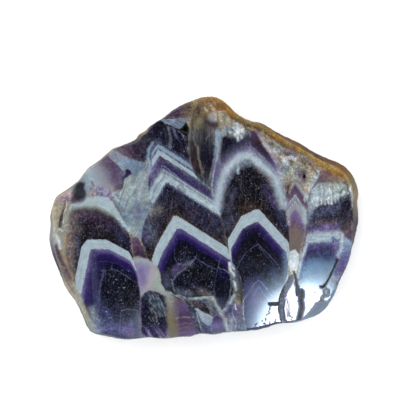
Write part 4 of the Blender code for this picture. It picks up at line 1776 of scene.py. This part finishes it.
    def veined(self, colour):
        """Thin lines that swell and break off."""
        vein = self.attribute("vein")
        sway = self.swings((self.fine, 1.0), (self.lumps, 2.2))
        line = self.step(self.total(self.attribute("vein_gap").outputs["Fac"], sway), 0.1, 1.0, 1.0, 0.0)
        patchy = self.step(self.lumps, 0.34, 0.6, 0.4, 1.0)
        patchy = self.times(patchy, self.step(self.cloud, 0.36, 0.56, 0.2, 1.0))
        return self.mix(self.times(line, vein.outputs["Alpha"], patchy), colour, vein.outputs["Color"])

    def crusted(self, colour):
        """Rough breaks, the hollow's painted shade and the rind."""
        broken = self.attribute("broken")
        grit = self.grey(self.step(self.rubble, 0.38, 0.66, 0.15, 3.0))
        colour = self.mix(broken.outputs["Alpha"], colour, self.shaded(broken.outputs["Color"], grit))
        rind = self.attribute("rind")
        crust = self.shaded(rind.outputs["Color"], self.grey(self.step(self.rubble, 0.3, 0.7, 0.55, 1.35)))
        cover = self.times(rind.outputs["Alpha"], self.step(self.cloud, 0.3, 0.55, 0.55, 1.0))
        return self.mix(cover, colour, crust)

    def surface(self, colour):
        """The finished shader: glossy where the stone is polished, rough and bumpy where it is raw."""
        worn = self.math("SUBTRACT", 1.0, self.attribute("polish").outputs["Fac"])
        rough = self.total(self.math("MULTIPLY_ADD", worn, 0.85, 0.045), self.swing(self.fine, 0.03))
        height = self.total(self.rubble, self.times(self.fine, 0.6))
        given = {"Strength": self.times(worn, 0.8), "Distance": BUMP_HEIGHT, "Height": height}
        normal = self.fill("ShaderNodeBump", given).outputs["Normal"]
        given = {"Base Color": colour, "Roughness": rough, "Normal": normal}
        shader = self.fill("ShaderNodeBsdfPrincipled", given)
        shader.inputs["IOR"].default_value = QUARTZ_IOR
        shader.inputs["Specular IOR Level"].default_value = SPECULAR_LEVEL
        return shader.outputs["BSDF"]


def stone_material():
    material = bpy.data.materials.new("polished chevron amethyst")
    material.use_nodes = True
    g = StoneGraph(material.node_tree)
    colour = g.attribute("body").outputs["Color"]
    for layer in (g.marbled, g.mottled, g.fibrous, g.specked, g.crumbled, g.banded, g.veined, g.crusted):
        colour = layer(colour)
    g.fill("ShaderNodeOutputMaterial", {"Surface": g.surface(colour)})
    return material


def build_stone(slab):
    """The stone's object in place of the CAD slab, and the height of its face."""
    points, triangles, wall_count, top, bottom = stone_mesh(slab)
    mesh = bpy.data.meshes.new("amethyst_stone")
    mesh.from_pydata(points.tolist(), [], triangles.tolist())
    mesh.update()
    places = read_places(points, wall_count, top, bottom)
    colour_attributes(mesh, places, triangles)
    vein_attributes(mesh, places)
    surface_attributes(mesh, points, places, top, bottom, wall_count)
    mesh.polygons.foreach_set("use_smooth", np.ones(len(triangles), dtype=bool))
    mesh.materials.append(stone_material())
    mesh.validate()
    made = bpy.data.objects.new("amethyst_stone", mesh)
    bpy.context.collection.objects.link(made)
    print("stone:", len(points), "points,", len(triangles), "triangles")
    return made, top


# The studio
CAMERA_HEIGHT = 1.2
SENSOR_MM = 36.0
FRAME_WIDTH = 0.2
BELOW_CAMERA = (200.0, 200.0)
FLOOR_SIZE = 6.0
WORLD_STRENGTH = 2.5
HORIZON_SHARE = 0.3
WHITE = (1.0, 1.0, 1.0, 1.0)
DARK_CEILING = (0.01, 0.01, 0.01, 1.0)

# The lamp that the face mirrors: its place on the plan, its strength in and round the core, its rim's tint
LAMP_CENTRE = (305.5, 333.0)
LAMP_RADIUS = 74.0 * PLAN_STEP
LAMP_CORE = 46.0
LAMP_GLOW = 6.4
LAMP_TINT = (0.55, 0.78, 1.0, 1.0)

# The broad light from the upper left
KEY_PLACE = (-0.9, 0.9, 1.0)
KEY_SIZE = 0.9
KEY_ENERGY = 12.0


def build_floor():
    bpy.ops.mesh.primitive_plane_add(size=FLOOR_SIZE, location=(0.0, 0.0, 0.0))
    floor = bpy.context.object
    floor.name = "floor"
    material = bpy.data.materials.new("pale floor")
    material.use_nodes = True
    shader = material.node_tree.nodes["Principled BSDF"]
    shader.inputs["Base Color"].default_value = (0.9, 0.9, 0.9, 1.0)
    shader.inputs["Roughness"].default_value = 0.8
    floor.data.materials.append(material)


def build_world():
    """Pale walls and a dark ceiling, so that the polished face stays dark where no lamp is mirrored."""
    world = bpy.data.worlds.new("studio")
    world.use_nodes = True
    g = Graph(world.node_tree)
    way = g.fill("ShaderNodeSeparateXYZ", {0: g.node("ShaderNodeTexCoord").outputs["Generated"]})
    height = way.outputs["Z"]
    share = g.times(g.step(height, 0.8, 0.95, 1.0, 0.0), g.step(height, 0.3, 0.6, HORIZON_SHARE, 1.0))
    given = {"Color": g.mix(share, DARK_CEILING, WHITE), "Strength": WORLD_STRENGTH}
    g.fill("ShaderNodeOutputWorld", {"Surface": g.fill("ShaderNodeBackground", given).outputs[0]})
    bpy.context.scene.world = world


def build_lamp(face_height):
    """A round soft lamp beside the camera, which the polished face mirrors at its lower right."""
    centre = from_plan([LAMP_CENTRE])[0]
    nadir = from_plan([BELOW_CAMERA])[0]
    place = nadir + 2.0 * (centre - nadir)
    bpy.ops.mesh.primitive_circle_add(vertices=64, radius=2.0 * LAMP_RADIUS, fill_type="NGON")
    lamp = bpy.context.object
    lamp.name = "soft_lamp"
    lamp.location = (place[0], place[1], CAMERA_HEIGHT + face_height)
    lamp.visible_camera = False
    lamp.visible_shadow = False
    material = bpy.data.materials.new("soft lamp")
    material.use_nodes = True
    g = Graph(material.node_tree)
    far = g.node("ShaderNodeVectorMath", operation="LENGTH")
    g.plug(far.inputs[0], g.node("ShaderNodeTexCoord").outputs["Object"])
    reach = g.times(far.outputs["Value"], 1.0 / (2.0 * LAMP_RADIUS))
    core = g.step(reach, 0.62, 0.73, LAMP_CORE, LAMP_GLOW)
    rim = g.step(reach, 0.72, 0.96, 1.0, 0.0)
    given = {"Color": g.mix(g.step(reach, 0.45, 0.7), WHITE, LAMP_TINT), "Strength": g.times(core, rim)}
    g.fill("ShaderNodeOutputMaterial", {"Surface": g.fill("ShaderNodeEmission", given).outputs[0]})
    lamp.data.materials.append(material)


def build_key():
    data = bpy.data.lights.new("key", "AREA")
    data.shape = "DISK"
    data.size = KEY_SIZE
    data.energy = KEY_ENERGY
    key = bpy.data.objects.new("key", data)
    key.location = KEY_PLACE
    key.rotation_euler = Vector(KEY_PLACE).to_track_quat("Z", "Y").to_euler()
    bpy.context.collection.objects.link(key)


def build_camera(face_height):
    """A camera that looks straight down, as in the photo."""
    nadir = from_plan([BELOW_CAMERA])[0]
    data = bpy.data.cameras.new("camera")
    data.sensor_width = SENSOR_MM
    data.lens = SENSOR_MM * CAMERA_HEIGHT / FRAME_WIDTH
    data.clip_start = 0.05
    camera = bpy.data.objects.new("camera", data)
    camera.location = (nadir[0], nadir[1], CAMERA_HEIGHT + face_height)
    bpy.context.collection.objects.link(camera)
    bpy.context.scene.camera = camera


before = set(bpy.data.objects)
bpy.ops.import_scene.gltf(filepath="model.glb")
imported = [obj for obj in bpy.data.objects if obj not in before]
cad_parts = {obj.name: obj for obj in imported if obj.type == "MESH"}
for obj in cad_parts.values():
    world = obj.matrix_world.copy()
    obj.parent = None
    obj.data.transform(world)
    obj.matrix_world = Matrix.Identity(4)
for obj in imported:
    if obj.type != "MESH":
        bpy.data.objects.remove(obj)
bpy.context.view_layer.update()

stone, face_height = build_stone(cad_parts["amethyst_slab"])
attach(stone, "root")
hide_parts("amethyst_slab")

build_floor()
build_world()
build_lamp(face_height)
build_key()
build_camera(face_height)
bpy.context.scene.view_settings.view_transform = "Standard"
